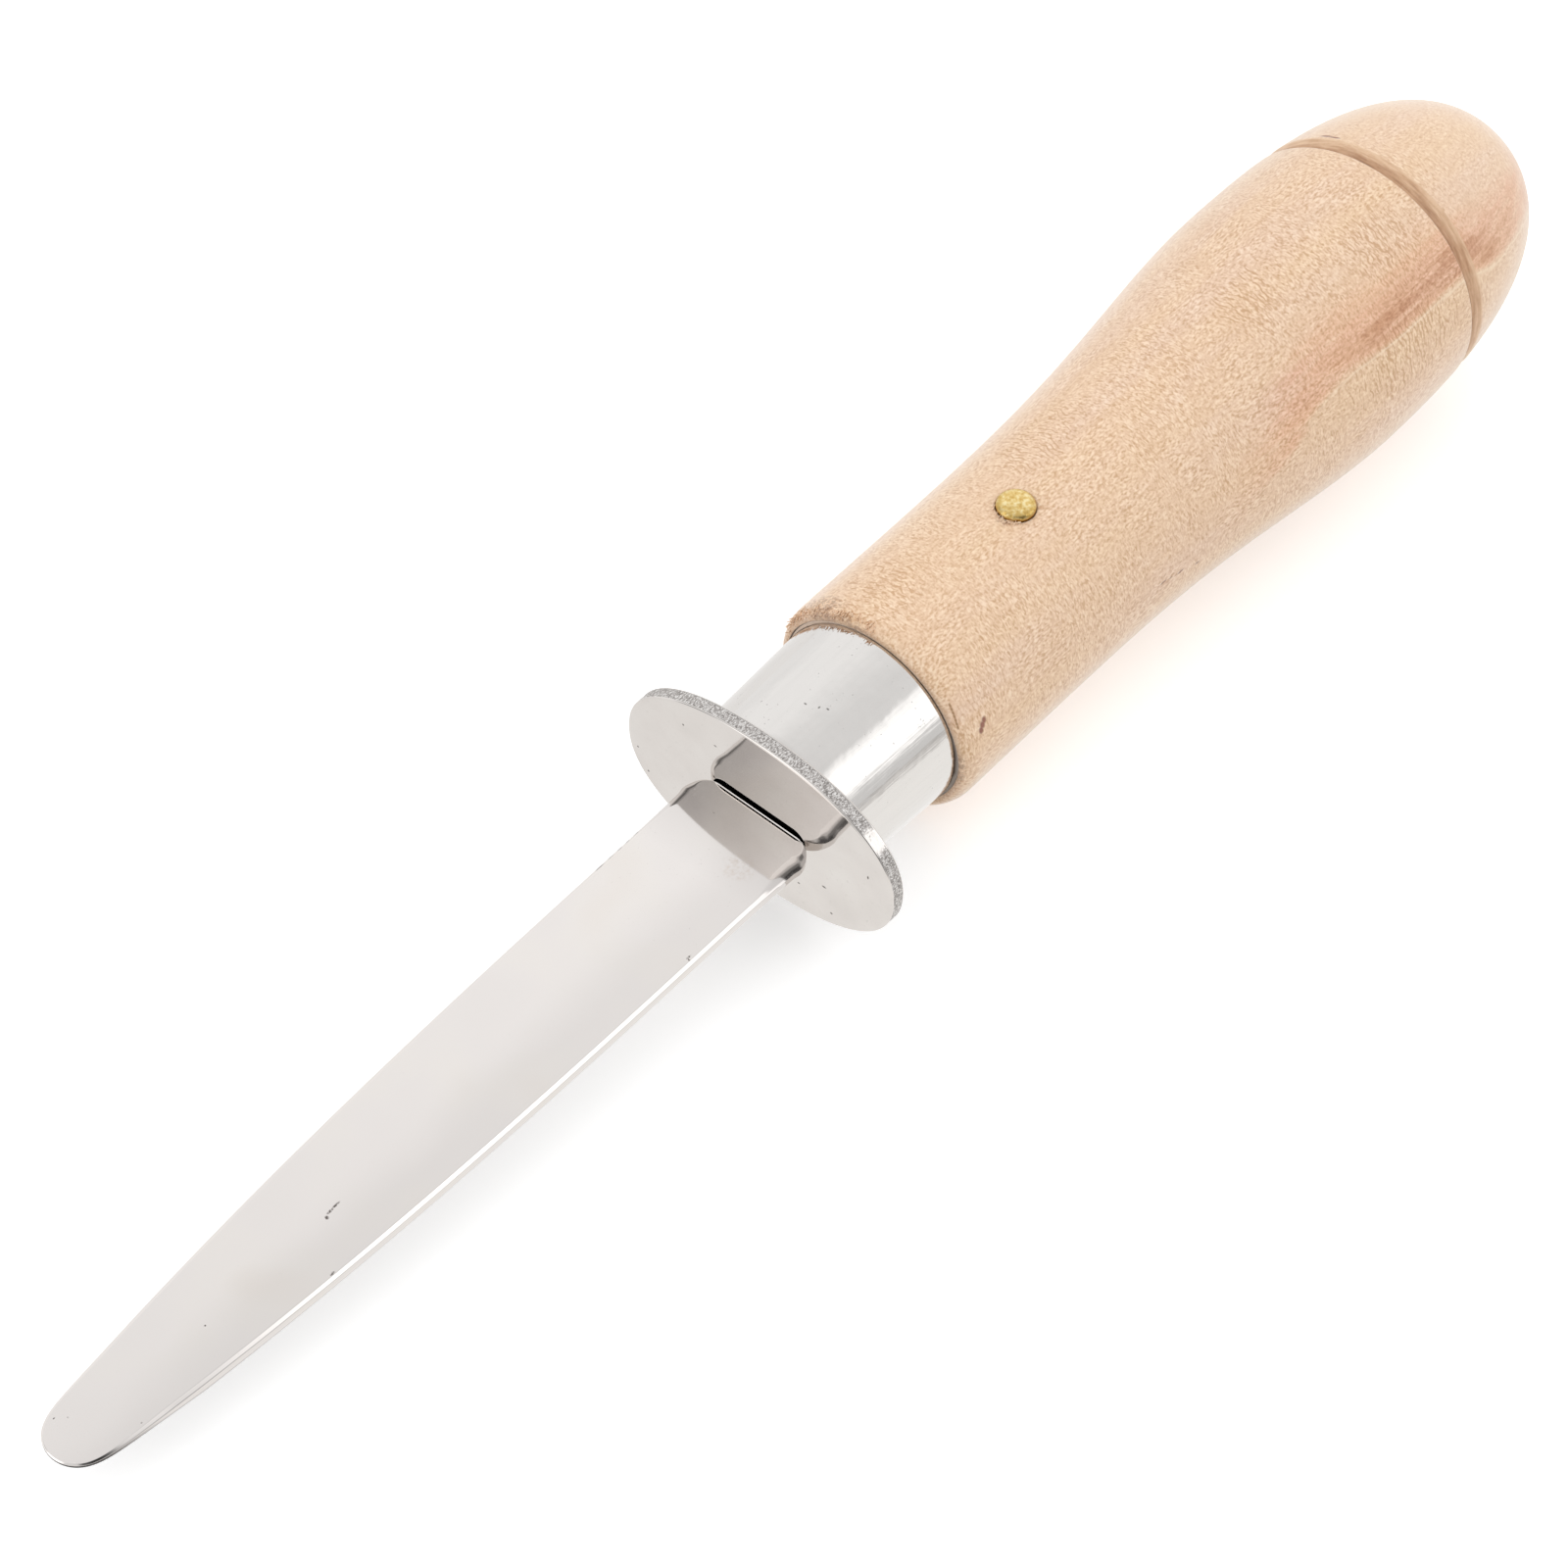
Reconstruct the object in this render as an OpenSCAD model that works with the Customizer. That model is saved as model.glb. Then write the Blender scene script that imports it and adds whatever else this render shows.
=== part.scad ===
// Oyster knife: a flat blunt blade, an oval guard plate, a ferrule and a turned wooden handle,
// held together by one cross pin through the handle and the blade's tang.
// The knife lies along X with its tip to +X, and the blade's flat faces look to +Z and -Z.
// The origin is the middle of its length, on the long axis. Every module is drawn with the
// front face of the guard at X = 0, and placed() moves it to the origin.

/* [Blade] */
// Length of the blade in front of the guard
blade_length = 87.4; // [70:0.5:105]
// Width of the blade next to the guard
blade_width = 13.9; // [12.6:0.1:16]
// Thickness of the blade
blade_thickness = 1.4; // [1.1:0.1:2]
// Width of the blade where its round tip begins
tip_width = 7.7; // [6:0.1:9]
// Length of the round tip
tip_length = 7.4; // [5:0.1:10]
// Thickness left at the tip, which is ground thinner from below
tip_thickness = 0.4; // [0.3:0.1:0.9]
// Length of the ground stretch under the tip
tip_grind_length = 13; // [8:0.5:20]
// Radius of the blade's corners next to the guard
shoulder_radius = 2.4; // [0.5:0.1:2.5]

/* [Tang] */
// Width of the tang where it enters the guard
tang_width = 9.4; // [8:0.1:9.6]
// Width of the tang at its buried end
tang_end_width = 6.4; // [5.5:0.1:8]
// Thickness of the tang, a little less than the blade's
tang_thickness = 1; // [0.7:0.1:1]
// Length of the tang behind the guard's front face
tang_length = 46; // [40:0.5:56]

/* [Guard] */
// Width of the oval guard along Y
guard_width = 31.2; // [26:0.2:38]
// Height of the oval guard along Z
guard_height = 19.8; // [19.2:0.2:24]
// Thickness of the guard plate
guard_thickness = 1.6; // [1.4:0.1:2.4]
// Squareness of the oval, where 2 is an ellipse
guard_squareness = 2.23; // [2:0.01:2.6]
// Length of the slot for the tang
slot_length = 10.8; // [10:0.1:11]
// Height of the slot for the tang
slot_height = 2.8; // [2:0.1:3.2]

/* [Ferrule] */
// Length of the ferrule between the guard and the wood
ferrule_length = 14.3; // [10:0.1:20]
// Outer diameter of the ferrule next to the guard
ferrule_front_diameter = 18.8; // [16:0.1:18.9]
// Outer diameter of the ferrule next to the wood
ferrule_back_diameter = 19.9; // [17:0.1:20]
// Thickness of the ferrule's wall
ferrule_wall = 0.9; // [0.6:0.1:1.2]

/* [Handle] */
// Length of the wood that shows behind the ferrule
handle_length = 96.5; // [86:0.1:116]
// Diameter of the wood next to its front edge
neck_diameter = 22.8; // [22.2:0.1:26]
// Largest diameter of the wood
belly_diameter = 29.2; // [27:0.1:36]
// Distance from the front of the wood to its largest diameter
belly_position = 65; // [58:0.1:69]
// Length of the rounded front edge along the handle
front_edge_length = 2; // [1:0.1:3]
// Fullness of the round butt, where 2 is an ellipse
butt_fullness = 2.58; // [2:0.01:3]

/* [Groove] */
// Distance from the front of the wood to the steep side of the groove
groove_position = 75; // [72:0.1:77]
// Width of the groove along the handle
groove_width = 2; // [1:0.1:3]
// Depth of the groove at its steep side
groove_depth = 0.7; // [0.3:0.1:1.2]

/* [Cross pin] */
// Distance from the front of the wood to the pin
pin_position = 20; // [12:0.1:21]
// Diameter of the pin's shank
pin_diameter = 3; // [2.4:0.1:3.4]
// Diameter of the pin's hammered heads
pin_head_diameter = 3.9; // [3.8:0.1:5]
// Height that each head stands above the wood
pin_head_proud = 0.75; // [0.4:0.05:1.2]
// Radius of the rounded edge of each head
pin_head_edge = 0.5; // [0.2:0.05:0.8]

/* [Clearances] */
// Gap on each side between the tang and the sawn slot in the wood
tang_clearance = 0.15; // [0.05:0.05:0.3]
// Gap all round between the wooden tenon and the ferrule
tenon_clearance = 0.05; // [0.02:0.01:0.2]
// Gap between the end of the tenon and the guard
tenon_end_gap = 0.5; // [0.2:0.1:1]
// Gap all round between the pin and the holes it passes through
pin_clearance = 0.02; // [0.01:0.01:0.1]

/* [Hidden] */

// Steps along each curved stretch of an outline, and sides of whatever is turned or round
curve_steps = 24;
round_steps = 10;
turned_sides = 96;
hole_sides = 48;
// Extra length of a cutting solid past the face it cuts
cut = 1;
// How far the tang's outline runs on into the blade, so that the two are one piece
tang_root = 1;

ferrule_start = guard_thickness;
wood_start = ferrule_start + ferrule_length;
butt_end = wood_start + handle_length;
pin_x = wood_start + pin_position;
tenon_start = ferrule_start + tenon_end_gap;

tip_start = blade_length - tip_length;
// The sides are all but parallel near the guard and close in faster and faster towards the tip
side_power = 3.1;
tip_power = 5.3;
// Extra width on each side next to the guard, and how far it runs
flare = 0.3;
flare_length = 12;

// Height of the seat that a pin head rests on, which is cut a little way into the wood
head_seat_depth = 0.5;
head_seat = neck_diameter / 2 - head_seat_depth;
head_top = neck_diameter / 2 + pin_head_proud;
head_seat_radius = pin_head_diameter / 2 + pin_clearance;

belly_x = wood_start + belly_position;
// Where the neck stops being straight, as a share of the way to the belly, and how late the
// swell sets in
swell_share = 0.14;
swell_x = wood_start + belly_position * swell_share;
swell_skew = 1.8;
// Height of the rounded front edge, which leaves a narrow flat ring of wood around the ferrule
front_ring = 0.1;
front_edge_height = (neck_diameter - ferrule_back_diameter) / 2 - front_ring;
// Where the floor of the groove begins and ends behind its steep side
groove_floor = [0.2, 0.6];

// Points of an arc about a centre, from one angle to another
function arc(centre, radius, from, to, steps = round_steps) =
    [for (i = [0 : steps])
        let (angle = from + (to - from) * i / steps)
        centre + radius * [cos(angle), sin(angle)]];

// Half the blade's width at a distance from the guard
function blade_half(x) =
    let (near = max(0, 1 - x / flare_length), end = max(0, min(1, (x - tip_start) / tip_length)))
    let (side = blade_width / 2 - flare * (1 - near * near))
    (side - (side - tip_width / 2) * pow(x / tip_start, side_power)) * sqrt(1 - pow(end, tip_power));

// Upper half of the blade's outline, from the shoulder to the middle of the tip
function blade_side() = concat(
    arc([shoulder_radius, blade_width / 2 - shoulder_radius], shoulder_radius, 180, 90),
    [for (i = [1 : curve_steps])
        let (x = shoulder_radius + (tip_start - shoulder_radius) * i / curve_steps)
        [x, blade_half(x)]],
    [for (i = [1 : curve_steps])
        let (x = tip_start + tip_length * sin(90 * i / curve_steps))
        [x, blade_half(x)]]);

// The same points on the other side, without the one at the tip
function mirrored(points) =
    [for (i = [len(points) - 2 : -1 : 0]) [points[i][0], -points[i][1]]];

// Points of the guard's oval, between an ellipse and a rounded rectangle
function oval(width, height, squareness, steps) =
    [for (i = [0 : steps - 1])
        let (angle = 360 * i / steps, c = cos(angle), s = sin(angle), power = 2 / squareness)
        [sign(c) * width / 2 * pow(abs(c), power), sign(s) * height / 2 * pow(abs(s), power)]];

// Radius of the wood at a distance behind the guard's front face
function swell(x) =
    let (along = pow((x - swell_x) / (belly_x - swell_x), swell_skew))
    neck_diameter / 2 + (belly_diameter - neck_diameter) / 2 * (1 - cos(180 * along)) / 2;

function butt(x) =
    let (along = min(1, (x - belly_x) / (butt_end - belly_x)))
    belly_diameter / 2 * pow(1 - pow(along, butt_fullness), 1 / butt_fullness);

// Outline of the wood as [radius, distance], from the front edge to the middle of the butt
function handle_outline() = concat(
    [for (i = [0 : round_steps])
        let (angle = 90 * i / round_steps)
        [neck_diameter / 2 - front_edge_height * (1 - sin(angle)),
            wood_start + front_edge_length * (1 - cos(angle))]],
    [for (i = [0 : curve_steps])
        let (x = swell_x + (belly_x - swell_x) * i / curve_steps)
        [swell(x), x]],
    [for (i = [1 : curve_steps])
        let (x = belly_x + (butt_end - belly_x) * sin(90 * i / curve_steps))
        [butt(x), x]]);

// Outer radius of the ferrule at a distance behind the guard's front face
function ferrule_radius(x) =
    let (along = (x - ferrule_start) / ferrule_length)
    (ferrule_front_diameter + (ferrule_back_diameter - ferrule_front_diameter) * along) / 2;

// Turns an outline of [radius, distance] about the knife's long axis
module turned(outline) {
    rotate([0, -90, 0])
        rotate_extrude($fn = turned_sides)
            polygon(outline);
}

// Stretches a flat XY outline through a thickness about Z = 0
module sheet(points, thickness) {
    translate([0, 0, -thickness / 2])
        linear_extrude(thickness)
            polygon(points);
}

// Tapered tang from the guard's front face backwards, widened by a gap on each side
module tang(gap = 0) {
    front = tang_width / 2 + gap;
    back = tang_end_width / 2 + gap;
    reach = tang_length + gap;
    sheet([[tang_root, front], [tang_root, -front], [-reach, -back], [-reach, back]],
        tang_thickness + 2 * gap);
}

// Moves what was drawn from the guard's front face to the middle of the knife
module placed() {
    translate([(butt_end - blade_length) / 2, 0, 0])
        children();
}

// Straight hole along Z at the pin, over a height on both sides of the axis
module pin_hole(radius, height) {
    translate([-pin_x, 0, -height])
        cylinder(r = radius, h = 2 * height, $fn = hole_sides);
}

// Wedge that is ground off the underside of the tip
module tip_grind() {
    start = blade_length - tip_grind_length;
    underside = -blade_thickness / 2;
    rise = blade_thickness - tip_thickness;
    rotate([90, 0, 0])
        linear_extrude(2 * blade_width, center = true)
            polygon([
                [start, underside],
                [start, underside - cut],
                [blade_length + cut, underside - cut],
                [blade_length + cut, underside + rise * (tip_grind_length + cut) / tip_grind_length]
            ]);
}

module blade() {
    side = blade_side();
    color("gainsboro")
        difference() {
            union() {
                sheet(concat(side, mirrored(side)), blade_thickness);
                tang();
            }
            tip_grind();
            pin_hole(pin_diameter / 2 + pin_clearance, blade_thickness);
        }
}

module slot_outline() {
    middle = slot_length - slot_height;
    square([middle, slot_height], center = true);
    for (side = [-1, 1])
        translate([side * middle / 2, 0])
            circle(d = slot_height, $fn = hole_sides);
}

module guard() {
    color("silver")
        rotate([90, 0, -90])
            linear_extrude(guard_thickness)
                difference() {
                    polygon(oval(guard_width, guard_height, guard_squareness, turned_sides));
                    slot_outline();
                }
}

module ferrule() {
    color("lightgray")
        turned([
            [ferrule_front_diameter / 2 - ferrule_wall, ferrule_start],
            [ferrule_front_diameter / 2, ferrule_start],
            [ferrule_back_diameter / 2, wood_start],
            [ferrule_back_diameter / 2 - ferrule_wall, wood_start]
        ]);
}

module tenon() {
    inset = ferrule_wall + tenon_clearance;
    turned([
        [0, tenon_start],
        [ferrule_radius(tenon_start) - inset, tenon_start],
        [ferrule_radius(wood_start) - inset, wood_start],
        [ferrule_radius(wood_start) - inset, wood_start + cut],
        [0, wood_start + cut]
    ]);
}

module groove_cutter() {
    steep = wood_start + groove_position;
    bottom = butt(steep) - groove_depth;
    shallow = steep + groove_width;
    turned([
        [bottom, steep + groove_floor[0]],
        [bottom, steep + groove_floor[1]],
        [butt(shallow), shallow],
        [belly_diameter / 2 + cut, shallow],
        [belly_diameter / 2 + cut, steep]
    ]);
}

module handle() {
    color("burlywood")
        difference() {
            union() {
                turned(concat([[0, wood_start]], handle_outline()));
                tenon();
            }
            groove_cutter();
            tang(tang_clearance);
            pin_hole(pin_diameter / 2 + pin_clearance, belly_diameter);
            for (side = [0, 180])
                rotate([side, 0, 0])
                    translate([-pin_x, 0, head_seat])
                        cylinder(r = head_seat_radius, h = belly_diameter / 2, $fn = hole_sides);
        }
}

// Upper half of the pin as [radius, height], from its shank over the rounded head to its middle
function pin_half() = concat(
    [[pin_diameter / 2, head_seat], [pin_head_diameter / 2, head_seat]],
    arc([pin_head_diameter / 2 - pin_head_edge, head_top - pin_head_edge], pin_head_edge, 0, 90),
    [[0, head_top]]);

module handle_pin() {
    upper = pin_half();
    lower = [for (i = [len(upper) - 1 : -1 : 0]) [upper[i][0], -upper[i][1]]];
    color("goldenrod")
        translate([-pin_x, 0, 0])
            rotate_extrude($fn = hole_sides)
                polygon(concat(upper, lower));
}

placed() blade();
placed() guard();
placed() ferrule();
placed() handle();
placed() handle_pin();
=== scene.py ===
# %% [markdown]
# # An oyster knife
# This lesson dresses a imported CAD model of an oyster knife: a blunt steel blade, an oval guard, a ferrule
# and a turned birch handle, held together by one brass pin. The CAD model is the fixed frame. Its sizes are
# true, so each finer piece that is made here stands exactly where its plain CAD solid is, and takes its
# place.

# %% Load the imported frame
import math

import bmesh
import bpy
import numpy as np
from mathutils import Matrix, Vector


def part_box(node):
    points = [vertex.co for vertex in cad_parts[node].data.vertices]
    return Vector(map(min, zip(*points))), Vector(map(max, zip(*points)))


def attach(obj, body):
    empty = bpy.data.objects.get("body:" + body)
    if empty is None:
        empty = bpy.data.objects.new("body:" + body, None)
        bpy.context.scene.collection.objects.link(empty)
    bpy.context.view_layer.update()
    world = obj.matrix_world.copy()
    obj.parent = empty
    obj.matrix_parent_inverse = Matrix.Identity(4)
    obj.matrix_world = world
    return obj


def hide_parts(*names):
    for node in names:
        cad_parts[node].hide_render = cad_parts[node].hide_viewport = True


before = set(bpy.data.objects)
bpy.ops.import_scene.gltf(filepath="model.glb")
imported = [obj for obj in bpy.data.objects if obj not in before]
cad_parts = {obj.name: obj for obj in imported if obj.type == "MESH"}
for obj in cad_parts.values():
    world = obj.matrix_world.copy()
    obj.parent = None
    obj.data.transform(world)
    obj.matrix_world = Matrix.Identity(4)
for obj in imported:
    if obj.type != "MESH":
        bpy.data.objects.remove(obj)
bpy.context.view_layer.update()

for name in sorted(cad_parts):
    low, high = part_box(name)
    print(name, "from", [round(v * 1000, 2) for v in low], "to", [round(v * 1000, 2) for v in high], "mm")

# %% [markdown]
# ## Sizes
# Blender works in metres, but a small tool is easier to think of in millimetres. Every outline below is
# written in millimetres from the front face of the guard, which is where the maker of such a knife measures
# from. One function moves the points to their place in the frame, and turns them into metres.

# %% Sizes in millimetres
MM = 0.001
GUARD_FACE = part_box("guard")[1].x / MM

BLADE_LENGTH, BLADE_WIDTH, BLADE_THICKNESS = 87.4, 13.9, 1.4
TIP_WIDTH, TIP_LENGTH, TIP_THICKNESS, TIP_GRIND = 7.7, 7.4, 0.4, 13.0
TIP_START, TIP_FULLNESS, TAPER_POWER = BLADE_LENGTH - TIP_LENGTH, 5.3, 3.1
SHOULDER, WAIST_LENGTH, WAIST_DEPTH = 2.4, 12.0, 0.3
TANG_WIDTH, TANG_END, TANG_THICKNESS, TANG_LENGTH = 9.4, 6.4, 1.0, 46.0

GUARD_WIDTH, GUARD_HEIGHT, GUARD_THICKNESS, GUARD_SQUARENESS = 31.2, 19.8, 1.6, 2.23
SLOT_LENGTH, SLOT_HEIGHT = 10.8, 2.8

FERRULE_LENGTH, FERRULE_FRONT, FERRULE_BACK, FERRULE_WALL = 14.3, 18.8, 19.9, 0.9

WOOD_START, BUTT_END, BUTT_FULLNESS = 15.9, 112.4, 2.58
NECK, BELLY, FRONT_EDGE = 22.8, 29.2, 2.0
SWELL_START, BELLY_AT, SWELL_POWER = 25.0, 80.9, 1.8
GROOVE_AT, GROOVE_WIDTH, GROOVE_DEPTH = 90.9, 2.0, 0.7

# The ferrule's end stands in a shallow recess in the wood, inside the handle's rounded lip
RECESS_DEPTH, MOUTH = 0.16, FERRULE_BACK / 2 + 0.28
LIP = MOUTH + 0.06

PIN_AT, PIN_SHANK, PIN_HEAD, PIN_TOP, PIN_SEAT = 35.9, 3.0, 3.9, 12.15, 10.9


def placed(points):
    """Points in millimetres from the guard's front face, as metres in the frame."""
    return (np.asarray(points, float) + (GUARD_FACE, 0, 0)) * MM


print("the guard's front face is at x =", round(GUARD_FACE, 2), "mm")

# %% [markdown]
# ## Colours
# A colour picked on a screen is an sRGB value, while Blender's shaders calculate in linear light. One
# function turns the familiar hex code into the linear numbers that a socket expects.


# %% One function for every colour
def colour(code):
    """An sRGB hex code as linear red, green, blue and alpha."""
    parts = [int(code[i:i + 2], 16) / 255 for i in (1, 3, 5)]
    return (*(p / 12.92 if p <= 0.04045 else ((p + 0.055) / 1.055) ** 2.4 for p in parts), 1)


print("birch in linear light:", [round(c, 3) for c in colour("#F3D6B9")])

# %% [markdown]
# ## One helper for node trees
# Materials, the world and Geometry Nodes are all trees of nodes. Each tree gets one function that adds any
# node to it. Values, hex codes or other nodes fill its sockets in order. A name with a capital letter is a
# socket's name, any other name is a setting, and a colour ramp comes as a list of stops.


# %% Add a node
def adder(tree):
    """Makes the function that adds nodes to one tree."""
    def add(kind, *values, stops=(), **named):
        """Adds a node, such as "Bump" or "Math ADD", and fills or links its sockets."""
        kind, *choice = kind.split()
        node = tree.nodes.new(kind if "Node" in kind else "ShaderNode" + kind)
        if choice:
            setting = next(s for s in ("operation", "interpolation_type", "data_type") if hasattr(node, s))
            setattr(node, setting, choice[0])
        for name, value in named.items():
            if name[0].islower():
                setattr(node, name, value)
        filled = list(zip([s for s in node.inputs if s.enabled], values))
        filled += [(node.inputs[name.replace("_", " ")], value)
                   for name, value in named.items() if name[0].isupper()]
        for socket, value in filled:
            if isinstance(value, bpy.types.Node):
                value = next(o for o in value.outputs if o.enabled)
            if isinstance(value, bpy.types.NodeSocket):
                tree.links.new(value, socket)
            else:
                socket.default_value = colour(value) if isinstance(value, str) else value
        if stops:
            ramp = node.color_ramp.elements
            while len(ramp) > len(stops):
                ramp.remove(ramp[-1])
            while len(ramp) < len(stops):
                ramp.new(1)
            for element, (position, code) in zip(ramp, stops):
                element.position, element.color = position, colour(code)
        return node
    return add


# %% [markdown]
# ## The camera
# The photograph was taken from above and in front of the tip, from 39 cm away. Its place, its turn and its
# focal length were solved from the outlines of the guard, the ferrule and the blade, whose real shapes are
# simple. The small shift says that the picture was cropped a little off the lens's middle.

# %% Place the camera
RIGHT = Vector((-0.65687138, 0.75392423, 0.01087453))
DOWN = Vector((0.59451037, 0.52674195, -0.60753629))
AHEAD = Vector((-0.46376440, -0.39260817, -0.79421748))
EYE = Vector((196.911, 148.217, 309.527)) * MM
FOCAL_PIXELS, MIDDLE, PICTURE = 4427.69, (705.18, 827.65), 1600

camera_data = bpy.data.cameras.new("camera")
camera_data.sensor_width = 36
camera_data.lens = FOCAL_PIXELS / PICTURE * camera_data.sensor_width
camera_data.shift_x = 0.5 - MIDDLE[0] / PICTURE
camera_data.shift_y = MIDDLE[1] / PICTURE - 0.5
camera_data.clip_start, camera_data.clip_end = 0.01, 10
camera = bpy.data.objects.new("camera", camera_data)
bpy.context.scene.collection.objects.link(camera)
turn = Matrix((RIGHT, -DOWN, -AHEAD)).transposed().to_4x4()
camera.matrix_world = Matrix.Translation(EYE) @ turn
bpy.context.scene.camera = camera
print("lens", round(camera_data.lens, 1), "mm, shift", round(camera_data.shift_x, 4),
      round(camera_data.shift_y, 4))

# %% [markdown]
# ## The studio as a world
# Polished steel has hardly any look of its own: it shows the room. So the room is designed first. It is
# white all round, and soft patches change it: a dimmer side with the camera, its stand and the
# photographer, a lamp and a reflector in front of the tip, a dark stand low at the knife's side, and a
# strip light beyond the handle. Each patch has a direction, an inner and an outer angle, and a level. Matt
# surfaces get some more light from overhead and from one side. The camera itself sees plain white behind
# the object.

# %% Paint the world's patches
MATT_OVERHEAD, MATT_SIDE = 0.49, 0.22  # extra light for matt surfaces, from overhead and from +Y
ROOM = [
    # name, direction, inner and outer angle in degrees, level compared with the white room
    ("camera side", (0.464, 0.393, 0.794), 38, 82, 0.77),
    ("camera and its stand", (0.464, 0.393, 0.794), 6, 15, 0.35),
    ("camera lens", (0.46, -0.50, 0.76), 5.9, 8.3, 0.40),
    ("reflector", (0.52, -0.25, 0.79), 8, 22, 1.68),
    ("lamp in front", (0.80, -0.30, 0.45), 12, 26, 1.80),
    ("photographer", (0.28, 0.73, 0.62), 12, 27, 0.16),
    ("tripod", (0.46, -0.76, 0.45), 8, 20, 0.20),
    ("ceiling", (-0.05, -0.30, 0.95), 5, 27, 0.94),
    ("dark stand", (0.16, 0.94, 0.26), 12, 30, 0.25),
    ("dim wall", (-0.50, 0.86, -0.03), 5, 13, 0.72),
    ("strip light", (-0.52, 0.73, 0.45), 10.5, 20.5, 1.55),
    ("end of the strip light", (-0.26, 0.80, 0.54), 6, 13, 1.50),
    ("window side", (-0.50, -0.86, 0.02), 5, 16, 0.94),
]

world = bpy.data.worlds.new("studio")
bpy.context.scene.world = world
world.use_nodes = True
world.node_tree.nodes.clear()
add = adder(world.node_tree)
direction = add("TexCoord").outputs["Generated"]
level = None
for name, towards, inner, outer, value in ROOM:
    facing = add("VectorMath DOT_PRODUCT", direction, Vector(towards).normalized(), label=name)
    patch = add("MapRange SMOOTHSTEP", facing, math.cos(math.radians(outer)), math.cos(math.radians(inner)),
                1, value)
    level = add("Math MULTIPLY", level, patch) if level else patch
rays = add("LightPath")
way = add("SeparateXYZ", direction).outputs
up = add("Math MULTIPLY", way["Z"], MATT_OVERHEAD, use_clamp=True)
up = add("Math MULTIPLY_ADD", way["Y"], MATT_SIDE, up)
lift = add("Math MULTIPLY_ADD", rays.outputs["Is Diffuse Ray"], up, 1)
level = add("Math MULTIPLY", level, lift)
room = add("Background", (1, 1, 1, 1), level)
backdrop = add("Background", (1, 1, 1, 1), 1)
seen = add("MixShader", rays.outputs["Is Camera Ray"], room, backdrop)
add("OutputWorld", Surface=seen)
print(len(ROOM), "patches in the room")

# %% [markdown]
# ## Turning on a lathe, with Geometry Nodes
# The handle, the ferrule and the pin all follow one rule: an outline is turned round an axis. The tree
# takes the outline as a chain of points, makes a grid with one row for each point, and wraps the grid round
# the X axis. It can also make the surface a little uneven, always towards the inside, as hand sanding or a
# hammer does.


# %% The lathe tree
def new_tree(name, **inputs):
    """A Geometry Nodes tree with the given inputs, the function that adds to it, and its inputs."""
    tree = bpy.data.node_groups.new(name, "GeometryNodeTree")
    for socket, kind in inputs.items():
        tree.interface.new_socket(socket.replace("_", " "), in_out="INPUT", socket_type="NodeSocket" + kind)
    tree.interface.new_socket("Geometry", in_out="OUTPUT", socket_type="NodeSocketGeometry")
    add = adder(tree)
    return tree, add, add("NodeGroupInput").outputs


def make_lathe():
    tree, add, given = new_tree("lathe", Outline="Geometry", Sides="Int", Unevenness="Vector",
                                Patch_size="Float", Seed="Float", Material="Material")

    # One column of the grid for each point of the outline, and one row for each side
    count = add("GeometryNodeAttributeDomainSize", given["Outline"])
    rows = add("Math ADD", given["Sides"], 1)
    grid = add("GeometryNodeMeshGrid", Vertices_X=count, Vertices_Y=rows)
    spot = add("SeparateXYZ", add("GeometryNodeInputPosition")).outputs
    last = add("Math SUBTRACT", count, 1)
    across = add("Math ADD", spot["X"], 0.5)
    place = add("Math MULTIPLY", across, last)
    index = add("FunctionNodeFloatToInt", place, rounding_mode="ROUND")
    point = add("GeometryNodeSampleIndex FLOAT_VECTOR", given["Outline"],
                Value=add("GeometryNodeInputPosition"), Index=index)
    part = add("SeparateXYZ", point).outputs

    # Turn each outline point round the X axis by the row's angle
    angle = add("Math MULTIPLY", spot["Y"], 2 * math.pi)
    sine = add("Math SINE", angle)
    cosine = add("Math COSINE", angle)
    side = add("Math MULTIPLY", part["Z"], sine)
    up = add("Math MULTIPLY", part["Z"], cosine)
    turned = add("CombineXYZ", X=part["X"], Y=side, Z=up)

    # Shrink the surface a little where a soft noise is high
    inverse = add("Math DIVIDE", 1.0, given["Patch size"])
    scaled = add("VectorMath SCALE", turned, inverse)
    noise = add("TexNoise", scaled, W=given["Seed"], Scale=1, noise_dimensions="4D")
    dip = add("VectorMath SCALE", given["Unevenness"], noise)
    keep = add("VectorMath SUBTRACT", (1, 1, 1), dip)
    uneven = add("VectorMath MULTIPLY", turned, keep)

    shaped = add("GeometryNodeSetPosition", grid, Position=uneven)
    closed = add("GeometryNodeMergeByDistance", shaped, Distance=1e-6)
    smooth = add("GeometryNodeSetShadeSmooth", closed)
    real = add("GeometryNodeRealizeInstances", smooth)
    dressed = add("GeometryNodeSetMaterial", real, Material=given["Material"])
    add("NodeGroupOutput", Geometry=dressed)
    return tree


lathe = make_lathe()
print("lathe tree with", len(lathe.nodes), "nodes")


# %% [markdown]
# ## From a tree to a plain mesh
# A modifier's inputs are set by the identifiers of their sockets. The evaluated result then becomes a plain
# mesh, so that every later step, and the export, sees ordinary faces.


# %% Make meshes and apply modifiers
def new_object(name, points, faces=(), edges=()):
    """A mesh object from points in metres."""
    mesh = bpy.data.meshes.new(name)
    mesh.from_pydata([tuple(p) for p in points], list(edges), [tuple(f) for f in faces])
    made = bpy.data.objects.new(name, mesh)
    bpy.context.scene.collection.objects.link(made)
    return made


def baked(made):
    """Replaces an object's mesh by its evaluated one, and drops the modifiers."""
    bpy.context.view_layer.update()
    result = bpy.data.meshes.new_from_object(made.evaluated_get(bpy.context.evaluated_depsgraph_get()))
    made.modifiers.clear()
    old, made.data = made.data, result
    bpy.data.meshes.remove(old)
    result.name = made.name
    return made


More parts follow.
